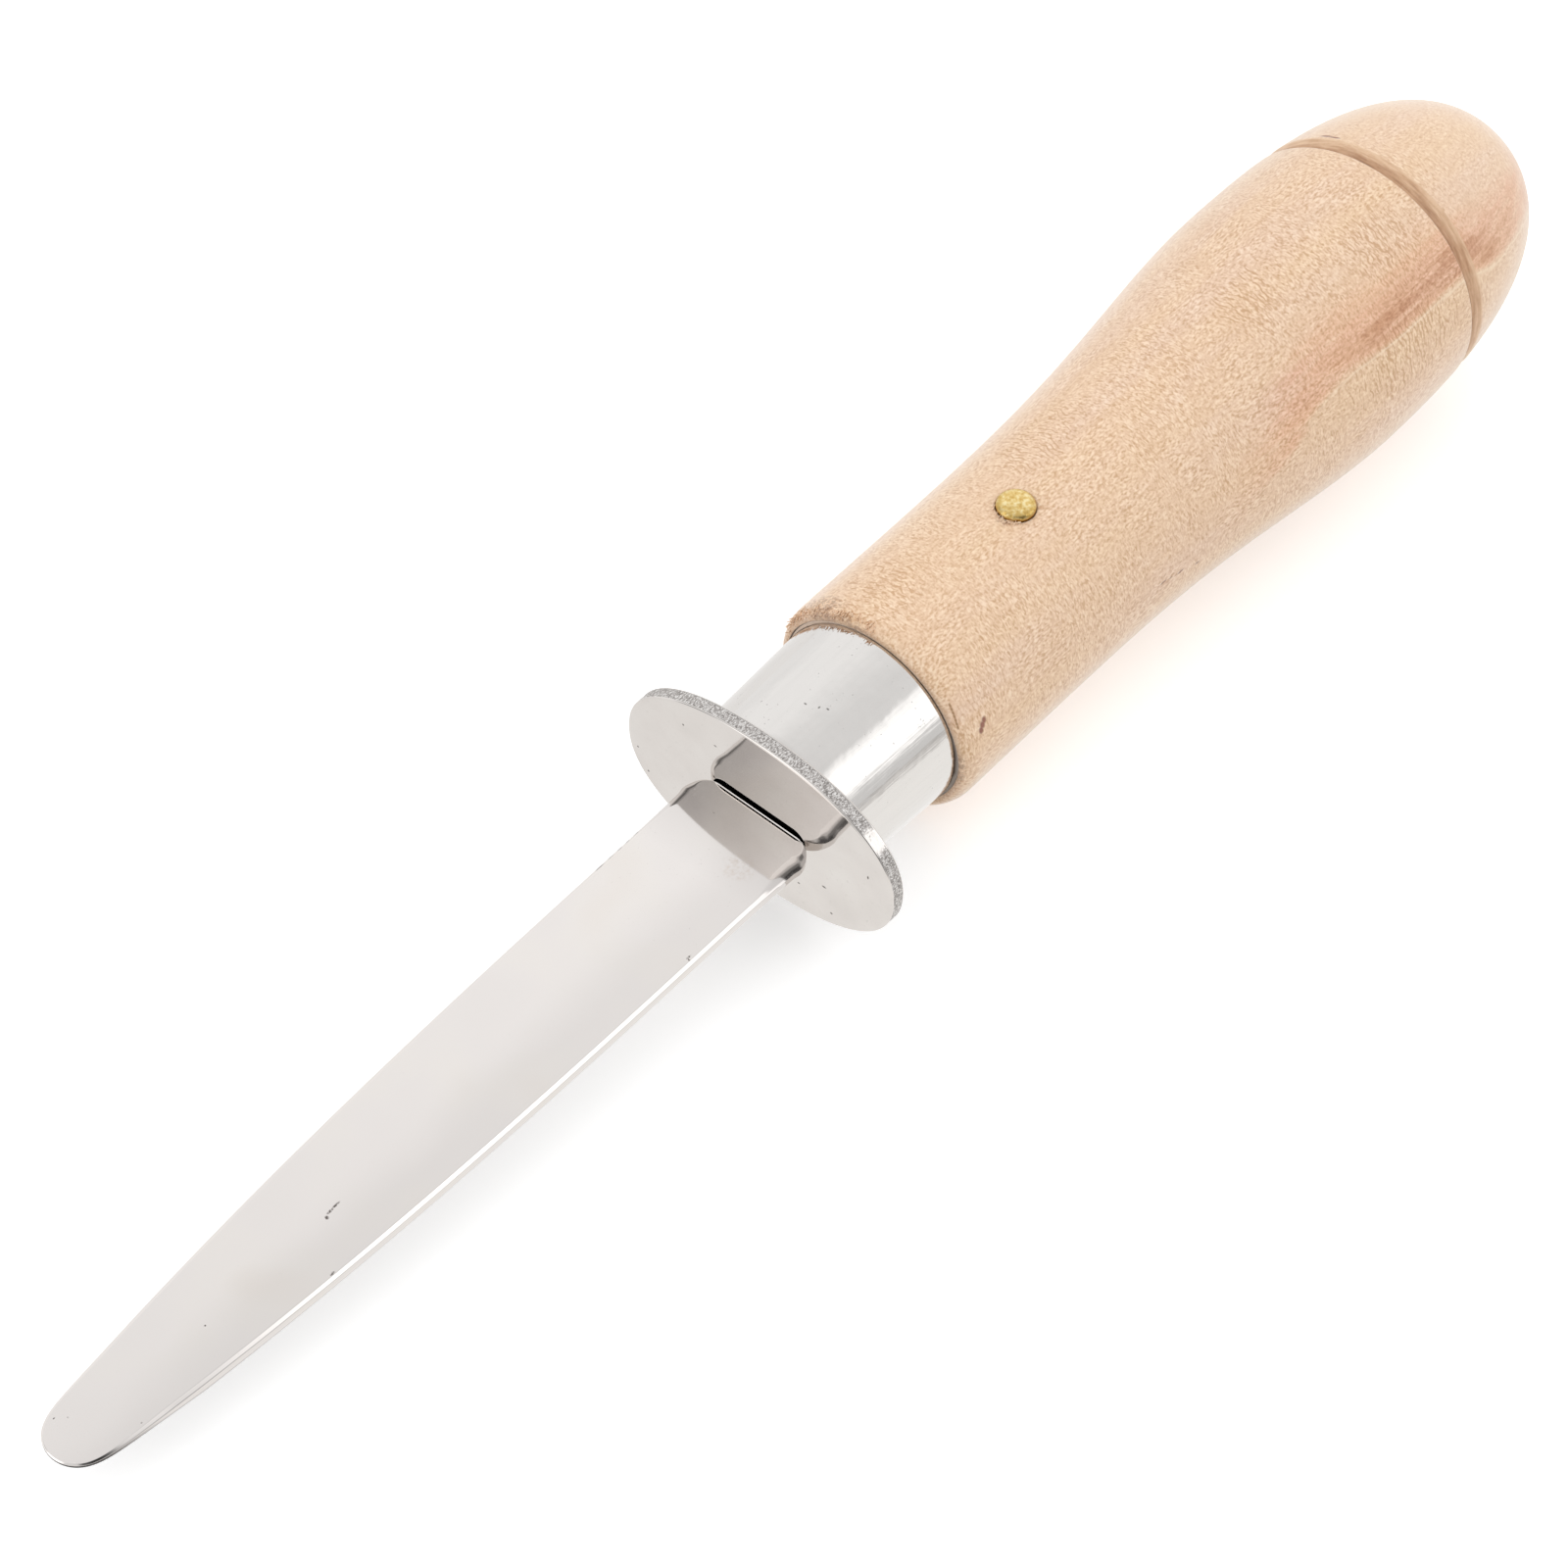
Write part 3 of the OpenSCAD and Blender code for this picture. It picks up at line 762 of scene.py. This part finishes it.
# %% [markdown]
# ## The handle
# The outline follows the CAD model's formulas: a straight neck, a swell that sets in late, and a dome that
# is fuller than an ellipse. The groove is a turner's cut, steep on the belly's side. The lathe tree turns
# it, and two Boolean cuts open the sawn slot for the tang and the seats for the pin.


# %% The handle's outline
def ferrule_radius(x):
    return (FERRULE_FRONT + (FERRULE_BACK - FERRULE_FRONT) * (x - GUARD_THICKNESS) / FERRULE_LENGTH) / 2


def swell(x):
    along = max(0, (x - SWELL_START) / (BELLY_AT - SWELL_START)) ** SWELL_POWER
    return NECK / 2 + (BELLY - NECK) / 2 * (1 - math.cos(math.pi * along)) / 2


def butt(x):
    along = min(1, (x - BELLY_AT) / (BUTT_END - BELLY_AT))
    return BELLY / 2 * max(0, 1 - along ** BUTT_FULLNESS) ** (1 / BUTT_FULLNESS)


def front_edge(turned):
    """A point on the rounded front edge, as distance behind the guard's face and radius."""
    behind = WOOD_START + FRONT_EDGE * (1 - math.cos(turned))
    return behind, NECK / 2 - (NECK / 2 - LIP) * (1 - math.sin(turned))


def handle_outline(gap=0.36):
    tenon = FERRULE_WALL + 0.05
    tenon_end = GUARD_THICKNESS + 0.5
    inner = [(tenon_end, 0), (tenon_end, ferrule_radius(tenon_end) - tenon),
             (WOOD_START + RECESS_DEPTH, ferrule_radius(WOOD_START) - tenon),
             (WOOD_START + RECESS_DEPTH, MOUTH - 0.08), (WOOD_START + 0.1, MOUTH),
             (WOOD_START + 0.03, MOUTH)]
    edge = [front_edge(a) for a in np.linspace(0, math.pi / 2, 13)]
    body = [(x, swell(x)) for x in np.arange(WOOD_START + FRONT_EDGE + gap, BELLY_AT, gap)]
    body += [(x, butt(x)) for x in np.arange(BELLY_AT, GROOVE_AT - 0.5, gap)]
    bottom = butt(GROOVE_AT) - GROOVE_DEPTH
    end = GROOVE_AT + GROOVE_WIDTH
    groove = eased([
        (GROOVE_AT - 0.45, butt(GROOVE_AT - 0.45), 0), (GROOVE_AT, butt(GROOVE_AT), 0.12),
        (GROOVE_AT + 0.2, bottom, 0.15), (GROOVE_AT + 0.7, bottom + 0.02, 0.2),
        (end, butt(end), 0.25), (end + 0.4, butt(end + 0.4), 0)], 4)
    first = math.asin((end + 0.4 - BELLY_AT) / (BUTT_END - BELLY_AT))
    dome = [BELLY_AT + (BUTT_END - BELLY_AT) * math.sin(a) for a in np.linspace(first, math.pi / 2, 70)[1:]]
    dome = [(x, butt(x)) for x in dome]
    return spaced(inner, 1.5) + spaced(edge, gap) + body + spaced(groove, 0.2) + dome


outline = handle_outline()
print("handle outline:", len(outline), "points")

# %% Turn it and cut its hidden openings
handle = turn_outline("turned_handle", outline, birch, sides=224, unevenness=(0, 0.004, 0.004), patch=5.0,
                      seed=3.0)


def close_recess(made):
    """The recess stays wide at two places; between them the wood closes up to the ferrule."""
    moved = 0
    for vertex in made.data.vertices:
        x, y, z = [value / MM for value in vertex.co]
        radius, turned = math.hypot(y, z), math.degrees(math.atan2(y, z))
        if x < GUARD_FACE - WOOD_START - 0.2 or not FERRULE_BACK / 2 < radius < LIP + 0.02:
            continue
        closed = 1 - max(math.exp(-((turned + 66) / 26) ** 2), math.exp(-((turned - 92) / 22) ** 2))
        narrower = 1 - 0.2 * closed / radius
        lift = 0.1 * closed if x < GUARD_FACE - WOOD_START - 0.12 else 0
        vertex.co = ((x + lift) * MM, y * narrower * MM, z * narrower * MM)
        moved += 1
    print("recess points moved:", moved)


close_recess(handle)


def box_cutter(name, front, back, reach, half_height, start):
    """A tapered flat box along X, for the tang's slot."""
    corners = [(x, y, z) for x, half in ((start, front), (-reach, back)) for y in (-half, half)
               for z in (-half_height, half_height)]
    faces = [(0, 1, 3, 2), (4, 6, 7, 5), (0, 4, 5, 1), (2, 3, 7, 6), (0, 2, 6, 4), (1, 5, 7, 3)]
    return outward(new_object(name, placed(corners), faces))


def cut(made, cutter, operation="DIFFERENCE"):
    """Cuts one closed mesh with another, or joins them, and removes the cutter."""
    modifier = made.modifiers.new("cut", "BOOLEAN")
    modifier.operation, modifier.object, modifier.solver = operation, cutter, "MANIFOLD"
    baked(made)
    bpy.data.objects.remove(cutter)
    return made


def upright(made):
    """Turns a piece from the X axis to the Z axis, at the pin."""
    place = Matrix.Translation(placed([(-PIN_AT, 0, 0)])[0])
    made.data.transform(place @ Matrix.Rotation(-math.pi / 2, 4, "Y"))
    return made


CLEARANCE, PIN_CLEARANCE = 0.15, 0.02
cut(handle, box_cutter("slot_cutter", TANG_WIDTH / 2 + CLEARANCE, TANG_END / 2 + CLEARANCE,
                       TANG_LENGTH + CLEARANCE, TANG_THICKNESS / 2 + CLEARANCE, 0))
seat, shank, reach = PIN_HEAD / 2 + PIN_CLEARANCE, PIN_SHANK / 2 + PIN_CLEARANCE, 18
hole = upright(turn_outline(
    "hole_cutter", [(-reach, 0), (-reach, seat), (-PIN_SEAT, seat), (-PIN_SEAT, shank), (PIN_SEAT, shank),
                    (PIN_SEAT, seat), (reach, seat), (reach, 0)], birch, sides=48, shift=False))
cut(handle, hole)
outward(handle)

# %% [markdown]
# ## Torn fibres, with Geometry Nodes
# Where a cut crosses the grain, at the front lip and beside the pin's hole, a few wood fibres are torn and
# stand out. The tree puts one short bent fibre on every given spot and turns and sizes each by a seeded
# random value. They are a part of the wood, so they join the handle's mesh.


# %% The fibres' tree
def make_torn_fibres():
    tree, add, given = new_tree("torn_fibres", Spots="Geometry", Length="Float", Slenderness="Float",
                                Seed="Int", Material="Material")
    bow = add("GeometryNodeCurveQuadraticBezier", Resolution=5, Start=(-0.5, 0, 0), Middle=(0, 0.22, 0),
              End=(0.5, 0, 0.1))
    section = add("GeometryNodeCurvePrimitiveCircle", Resolution=5, Radius=given["Slenderness"])
    fibre = add("GeometryNodeCurveToMesh", Curve=bow, Profile_Curve=section, Fill_Caps=True)
    turns = add("FunctionNodeRandomValue FLOAT_VECTOR", (-3.14, -0.35, -0.7), (3.14, 0.35, 0.7),
                Seed=given["Seed"])
    longest = add("Math MULTIPLY", given["Length"], 0.4)
    sizes = add("FunctionNodeRandomValue", longest, given["Length"], Seed=given["Seed"])
    placed_fibres = add("GeometryNodeInstanceOnPoints", Points=given["Spots"], Instance=fibre,
                        Rotation=turns, Scale=sizes)
    real = add("GeometryNodeRealizeInstances", placed_fibres)
    dressed = add("GeometryNodeSetMaterial", real, Material=given["Material"])
    add("NodeGroupOutput", Geometry=dressed)
    return tree


# %% Grow the fibres and join them to the handle
def fibre_spots():
    """Spots along the front lip, and on the near side of the pin's hole."""
    random = np.random.default_rng(23)
    lip = []
    for a, b in 0.08 + 0.76 * random.random((150, 2)):
        behind, radius = front_edge(math.acos(1 - 0.45 * a))
        lip.append(surface_mark(GUARD_FACE - behind, -82 + 94 * b, radius + 0.02, None)[0])
    spots_round_pin = []
    for a, b in random.random((14, 2)):
        turned = math.radians(-55 + 100 * a)
        x, y = (2.02 + 0.16 * b) * math.cos(turned), (2.02 + 0.16 * b) * math.sin(turned)
        spots_round_pin.append((GUARD_FACE - PIN_AT + x, y, swell(PIN_AT - x) * 0.9955 + 0.03))
    return np.array(lip) * MM, np.array(spots_round_pin) * MM


torn_fibres = make_torn_fibres()
joined = bmesh.new()
joined.from_mesh(handle.data)
for place, length in zip(fibre_spots(), (0.9, 1.0)):
    fibres = new_object("torn_fibres", place)
    with_tree(fibres, torn_fibres, Length=length * MM, Slenderness=0.08, Seed=5, Material=birch)
    outward(baked(fibres))
    joined.from_mesh(fibres.data)
    bpy.data.objects.remove(fibres)
joined.to_mesh(handle.data)
joined.free()
outward(handle)

# %% [markdown]
# ## The pin
# One piece of wire, hammered to a low dome at both ends. It is turned like the handle, with a coarser
# unevenness, and then set upright.

# %% Turn the pin
head, edge = PIN_HEAD / 2, 0.5
half_pin = [(0, PIN_SHANK / 2), (PIN_SEAT, PIN_SHANK / 2), (PIN_SEAT, head - 0.1), (PIN_SEAT + 0.1, head)]
low = PIN_TOP - 0.16
half_pin += [(low - edge + edge * math.sin(a), head - edge + edge * math.cos(a))
             for a in np.linspace(0, math.pi / 2, 9)]
half_pin = spaced(half_pin, 0.6) + [(PIN_TOP - 0.16 * (r / (head - edge)) ** 2, r)
                                    for r in np.linspace(head - edge, 0, 12)[1:]]
pin = turn_outline("brass_pin", [(-x, r) for x, r in half_pin[::-1]] + half_pin[1:], brass, sides=72,
                   unevenness=(0.006, 0.05, 0.05), patch=0.9, seed=7.0, shift=False)
upright(pin)

# %% [markdown]
# ## The ferrule
# A short tube, a little wider at the wood. Its two ends are broken with a small radius, so that they catch
# a thin line of light where they meet the guard and the wood.

# %% Turn the ferrule
inner_front = ferrule_radius(GUARD_THICKNESS) - FERRULE_WALL
inner_back = ferrule_radius(WOOD_START) - FERRULE_WALL
seam = (GUARD_THICKNESS, (inner_front + FERRULE_FRONT / 2) / 2, 0)
tube = [seam, (GUARD_THICKNESS, FERRULE_FRONT / 2, 0.30), (WOOD_START, FERRULE_BACK / 2, 0.08),
        (WOOD_START, inner_back, 0.05), (GUARD_THICKNESS, inner_front, 0.05), seam]
ferrule = turn_outline("ferrule_tube", spaced(eased(tube), 0.5), ferrule_steel, sides=192,
                       unevenness=(0, 0.002, 0.002), patch=3.0, seed=5.0)


# %% [markdown]
# ## Flat pieces with a rounded edge
# The blade and the guard are sheets, and what makes them look like metal is the edge. Rings of points
# follow the outline: each ring is inset a little and lies a little lower, so together they round the edge
# over. A narrow flat step inside the rounding keeps the big faces perfectly flat, which a mirror needs.


# %% Rings round an outline
def outline_normals(outline):
    """Outward normals of a closed counter-clockwise outline."""
    ahead, behind = np.roll(outline, -1, axis=0), np.roll(outline, 1, axis=0)
    along = ahead - behind
    normal = np.stack([along[:, 1], -along[:, 0]], 1)
    return normal / np.linalg.norm(normal, axis=1, keepdims=True)


def edge_rings(top_radius, bottom_radius, steps=5, step_in=0.05):
    """Rings round an edge: (inset in mm, distance from the face in mm, 0 for the upper face or 1)."""
    top = [(top_radius + step_in, 0.0, 0)]
    top += [(top_radius * (1 - math.sin(a)), top_radius * (1 - math.cos(a)), 0)
            for a in np.linspace(0, math.pi / 2, steps + 1)]
    bottom = [(bottom_radius * (1 - math.sin(a)), bottom_radius * (1 - math.cos(a)), 1)
              for a in np.linspace(math.pi / 2, 0, steps + 1)]
    return top + bottom + [(bottom_radius + step_in, 0.0, 1)]


def ring_faces(first, second, count):
    """Quads between two rings of points."""
    following = [(i + 1) % count for i in range(count)]
    return [(first + i, second + i, second + j, first + j) for i, j in enumerate(following)]


# %% [markdown]
# ## The blade
# The outline is the CAD model's: nearly parallel sides that close in towards a round tip. The underside of
# the tip is ground away, so the rings lie closer together there. The two faces are ladders of quads from
# one side to the other.


# %% The blade's outline
def blade_half(x):
    """Half the blade's width: a slight waist at the root, a taper, and the round tip."""
    near, end = max(0, 1 - x / WAIST_LENGTH), min(1, max(0, (x - TIP_START) / TIP_LENGTH))
    side = BLADE_WIDTH / 2 - WAIST_DEPTH * (1 - near * near)
    taper = side - (side - TIP_WIDTH / 2) * (x / TIP_START) ** TAPER_POWER
    return taper * math.sqrt(max(0, 1 - end ** TIP_FULLNESS))


def blade_outline():
    shoulder = [(SHOULDER - SHOULDER * math.sin(a), BLADE_WIDTH / 2 - SHOULDER + SHOULDER * math.cos(a))
                for a in np.linspace(math.pi / 2, 0, 12)]
    side = [(x, blade_half(x)) for x in np.linspace(SHOULDER, TIP_START, 110)[1:]]
    tip = [(x, blade_half(x)) for x in TIP_START + TIP_LENGTH * np.sin(np.linspace(0, math.pi / 2, 60)[1:])]
    return np.array(shoulder + side + tip)


# Insets and depths in mm down the upper edge: a flat step, a rolled-over chamfer, and the side's beginning
UPPER_EDGE = [(0.43, 0), (0.38, 0), (0.35, 0.006), (0.32, 0.026), (0.30, 0.044), (0.24, 0.099),
              (0.18, 0.154), (0.12, 0.209), (0.075, 0.250), (0.055, 0.270), (0.02, 0.32), (0, 0.39)]
# Near the guard the wheel has rolled the edge over in a wide soft curve
ROLLED_EDGE = [(1.35, 0)] + [(1.3 * (1 - t), 0.41 * t ** 2.3) for t in np.linspace(0, 1, 11)]


def make_blade():
    upper = blade_outline()
    loop = np.vstack([upper * (1, -1), upper[-2::-1]])
    count, normals = len(loop), outline_normals(loop)
    under = np.clip((loop[:, 0] - (BLADE_LENGTH - TIP_GRIND)) / TIP_GRIND, 0, 1)
    thick = BLADE_THICKNESS - (BLADE_THICKNESS - TIP_THICKNESS) * under
    points, faces = [], []
    share = np.minimum(1, thick / BLADE_THICKNESS * 1.25) * np.clip(0.2 + 0.8 * loop[:, 0] / 1.4, 0.2, 1)
    rolled = np.interp(loop[:, 0], [0.0, 0.5, 1.6, 4.5, 7.5], [0, 0.35, 1, 0.85, 0])
    rolled = rolled * np.where(loop[:, 1] > 0, 1, 0.6)
    # The upper face's edge is rolled over, and the lower face's has a plain rounding
    upper_rings = [((1 - rolled) * i + rolled * wide, (1 - rolled) * d + rolled * deep, False)
                   for (i, d), (wide, deep) in zip(UPPER_EDGE, ROLLED_EDGE)]
    for inset, depth, from_below in upper_rings + [(i, d, True) for i, d, _ in edge_rings(0.30, 0.30)[7:]]:
        flat = loop - normals * (inset * share)[:, None]
        top = BLADE_THICKNESS / 2
        z = top - thick + depth * share if from_below else top - depth * share
        points += list(np.column_stack([flat, z]))
    for k in range(len(points) // count - 1):
        faces += ring_faces(k * count, (k + 1) * count, count)
    half = len(upper)
    for ring in (0, len(points) // count - 1):
        at = ring * count
        ladder = [(at + i, at + i + 1, at + (count - 2 - i), at + (count - 1 - i)) for i in range(half - 2)]
        ladder.append((at + half - 2, at + half - 1, at + half))
        faces += ladder if ring == 0 else [f[::-1] for f in ladder]
    made = new_object("polished_blade", placed(points), faces)
    made.data.materials.append(blade_steel)
    return outward(made)


blade = make_blade()
tang = box_cutter("tang", TANG_WIDTH / 2, TANG_END / 2, TANG_LENGTH, TANG_THICKNESS / 2, 1)
tang.data.materials.append(blade_steel)
cut(blade, tang, "UNION")
blade.data.shade_smooth()
blade.data.set_sharp_from_angle(angle=math.radians(50))
outward(blade)


# %% [markdown]
# ## The guard
# The oval lies between an ellipse and a rounded rectangle. Its rim is torn by the punch: real displacement
# for the coarse grains, always inwards, and bump for the fine ones.


# %% The guard's mesh
def oval(angle, width, height, squareness):
    c, s, power = np.cos(angle), np.sin(angle), 2 / squareness
    return np.column_stack([np.sign(c) * width / 2 * np.abs(c) ** power,
                            np.sign(s) * height / 2 * np.abs(s) ** power])


def slot_points(towards):
    """Points on the slot's outline in the given directions from its middle."""
    straight, end = (SLOT_LENGTH - SLOT_HEIGHT) / 2, SLOT_HEIGHT / 2
    found = []
    for c, s in towards:
        reach = end / max(abs(s), 1e-9)
        if abs(c) * reach > straight:
            reach = abs(c) * straight + math.sqrt(max(0, (c * straight) ** 2 - straight ** 2 + end ** 2))
        found.append((c * reach, s * reach))
    return np.array(found)


def make_guard(count=840, grain=0.05, rounding=0.17):
    outer = oval(np.linspace(0, 2 * math.pi, 20 * count, endpoint=False), GUARD_WIDTH, GUARD_HEIGHT,
                 GUARD_SQUARENESS)
    steps = np.linalg.norm(np.roll(outer, -1, axis=0) - outer, axis=1)
    walked = np.concatenate([[0], np.cumsum(steps)[:-1]]) / steps.sum() * count
    outer = outer[np.searchsorted(walked, np.arange(count))]
    normals = outline_normals(outer)
    slot = slot_points(outer / np.linalg.norm(outer, axis=1, keepdims=True))
    slot_normals = outline_normals(slot)
    random = np.random.default_rng(11)

    rings = []
    eases = edge_rings(rounding, rounding, 3)
    front, back = eases[:5], eases[5:]
    for inset, depth, _ in front:
        rings.append((outer - normals * inset, -depth, 0.0))
    for depth in np.linspace(rounding, GUARD_THICKNESS - rounding, 14)[1:-1]:
        rings.append((outer, -depth, 1.0))
    for inset, depth, _ in back:
        rings.append((outer - normals * inset, -GUARD_THICKNESS + depth, 0.0))
    for widen, depth in ((0.12, GUARD_THICKNESS), (0.06, GUARD_THICKNESS), (0, GUARD_THICKNESS - 0.06),
                         (0, 0.06), (0.06, 0), (0.12, 0)):
        rings.append((slot + slot_normals * widen, -depth, 0.0))

    points, torn = [], []
    for ring, x, rough in rings:
        rough_here = random.random(count)
        rough_here = (rough_here + np.roll(rough_here, 1) + 0.5 * np.roll(rough_here, 3)) / 2.5
        ring = ring - normals * (grain * rough * rough_here)[:, None]
        points += list(np.column_stack([np.full(count, x), ring]))
        torn += [rough] * count
    faces = []
    for k in range(len(rings)):
        faces += ring_faces(k * count, (k + 1) % len(rings) * count, count)
    made = new_object("oval_guard", placed(points), faces)
    attribute = made.data.attributes.new("rim", "FLOAT", "POINT")
    attribute.data.foreach_set("value", np.array(torn, np.float32))
    made.data.materials.append(guard_steel)
    made.data.shade_smooth()
    made.data.set_sharp_from_angle(angle=math.radians(60))
    return outward(made)


guard = make_guard()

# %% [markdown]
# ## The floor
# The knife can't stand level: its guard is smaller than its belly. It lies on the lowest points that its
# weight falls between, so the floor is laid through those two points, and comes out tilted by a few
# degrees. The floor is plain and pale. Rays from the camera and from matt surfaces get a little more light
# from it, so that it reads as the white ground of a product picture, and it still takes the knife's shadow.
# For mirrors alone it glows as a table, greyer to one side: a painted reflection, with painted shadow close
# under the blade and its tip.


# %% Lay the floor under the knife
FLOOR_SIDE = 0.64  # metres


def support_line(pieces, balance):
    """The two lowest points, seen from the side, that the weight falls between."""
    side = np.array([(v.co.x, v.co.z) for piece in pieces for v in piece.data.vertices])
    side = np.unique(np.round(side, 6), axis=0)
    hull = []
    for p in side:
        while len(hull) > 1 and np.cross(hull[-1] - hull[-2], p - hull[-2]) <= 0:
            hull.pop()
        hull.append(p)
    return next((a, b) for a, b in zip(hull[:-1], hull[1:]) if a[0] <= balance <= b[0])


behind, ahead = support_line([handle, pin, guard, ferrule, blade], balance=-0.018)
tilt = math.atan2(ahead[1] - behind[1], ahead[0] - behind[0])
print("it rests at x =", np.round(behind[0] / MM, 1), "and", np.round(ahead[0] / MM, 1), "mm, tilted",
      round(math.degrees(tilt), 2), "degrees")

floor_material = bpy.data.materials.new("floor_matt_white_paper")
floor_material.use_nodes = True
floor_material.node_tree.nodes.clear()
add = adder(floor_material.node_tree)
rays = add("LightPath").outputs
spot = add("TexCoord").outputs["Object"]
part = add("SeparateXYZ", spot).outputs
lift = add("Math MULTIPLY", rays["Is Diffuse Ray"], 0.22)
lift = add("Math MULTIPLY_ADD", rays["Is Camera Ray"], 0.42, lift)
glow = add("Emission", (1, 1, 1, 1), lift)
paper = add("AddShader", add("BsdfDiffuse", Color="#E7E7E7"), glow)

# What mirrors see, in the floor's own space: X runs along the knife and Y across it
# For mirrors alone the floor glows as a table, greyer to one side: a painted reflection
across = add("MapRange", part["Y"], -FLOOR_SIDE / 2, FLOOR_SIDE / 2)
table = add("ValToRGB", across,
            stops=[(0.44, "#F5F4F3"), (0.54, "#FFFEFC"), (0.61, "#FFFEFC"), (0.66, "#DEDCDA"),
                   (0.74, "#DCDAD8"), (0.76, "#C4C2C0"), (1.0, "#CCCAC8")])
root, tip = GUARD_FACE * MM - behind[0], (GUARD_FACE + BLADE_LENGTH) * MM - behind[0]
# Painted shadow that mirrors see, near the tip and close under the blade
painted_shadow_near_tip = add("VectorMath DISTANCE", spot, (tip + 0.0046, 0.008, 0))
painted_shadow_near_tip = add("MapRange SMOOTHSTEP", painted_shadow_near_tip, 0.007, 0.016, 0.15)
painted_shadow_under_blade = add("MapRange", add("Math ABSOLUTE", part["Y"]), 0.004, 0.008, 0.4)
for near, far in ((root + 0.026, root + 0.016), (tip + 0.001, tip + 0.006)):
    painted_shadow_under_blade = add("Math MAXIMUM", painted_shadow_under_blade, add("MapRange", part["X"], near, far))
mirrored = add("Emission", table, add("Math MULTIPLY", painted_shadow_near_tip, painted_shadow_under_blade))
mirror = add("Math MAXIMUM", rays["Is Glossy Ray"], rays["Is Transmission Ray"])
add("OutputMaterial", Surface=add("MixShader", mirror, paper, mirrored))

corners = [(x * FLOOR_SIDE / 2, y * FLOOR_SIDE / 2, 0) for x, y in ((-1, -1), (1, -1), (1, 1), (-1, 1))]
floor = new_object("floor", corners, [(0, 1, 2, 3)])
floor.data.materials.append(floor_material)
floor.matrix_world = Matrix.Translation((behind[0], 0, behind[1])) @ Matrix.Rotation(-tilt, 4, "Y")

# %% [markdown]
# ## Hand over
# Every piece rides on the one body and stands for its CAD node, which is hidden.

# %% Tie the pieces to the frame
for piece, node, slot_name in [(blade, "blade", "blade_steel"), (guard, "guard", "guard_steel"),
                               (ferrule, "ferrule", "ferrule_steel"), (handle, "handle", "pale_wood"),
                               (pin, "handle_pin", "pin_brass")]:
    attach(piece, "root")
    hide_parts(node)

bpy.context.scene.view_settings.view_transform = "Standard"
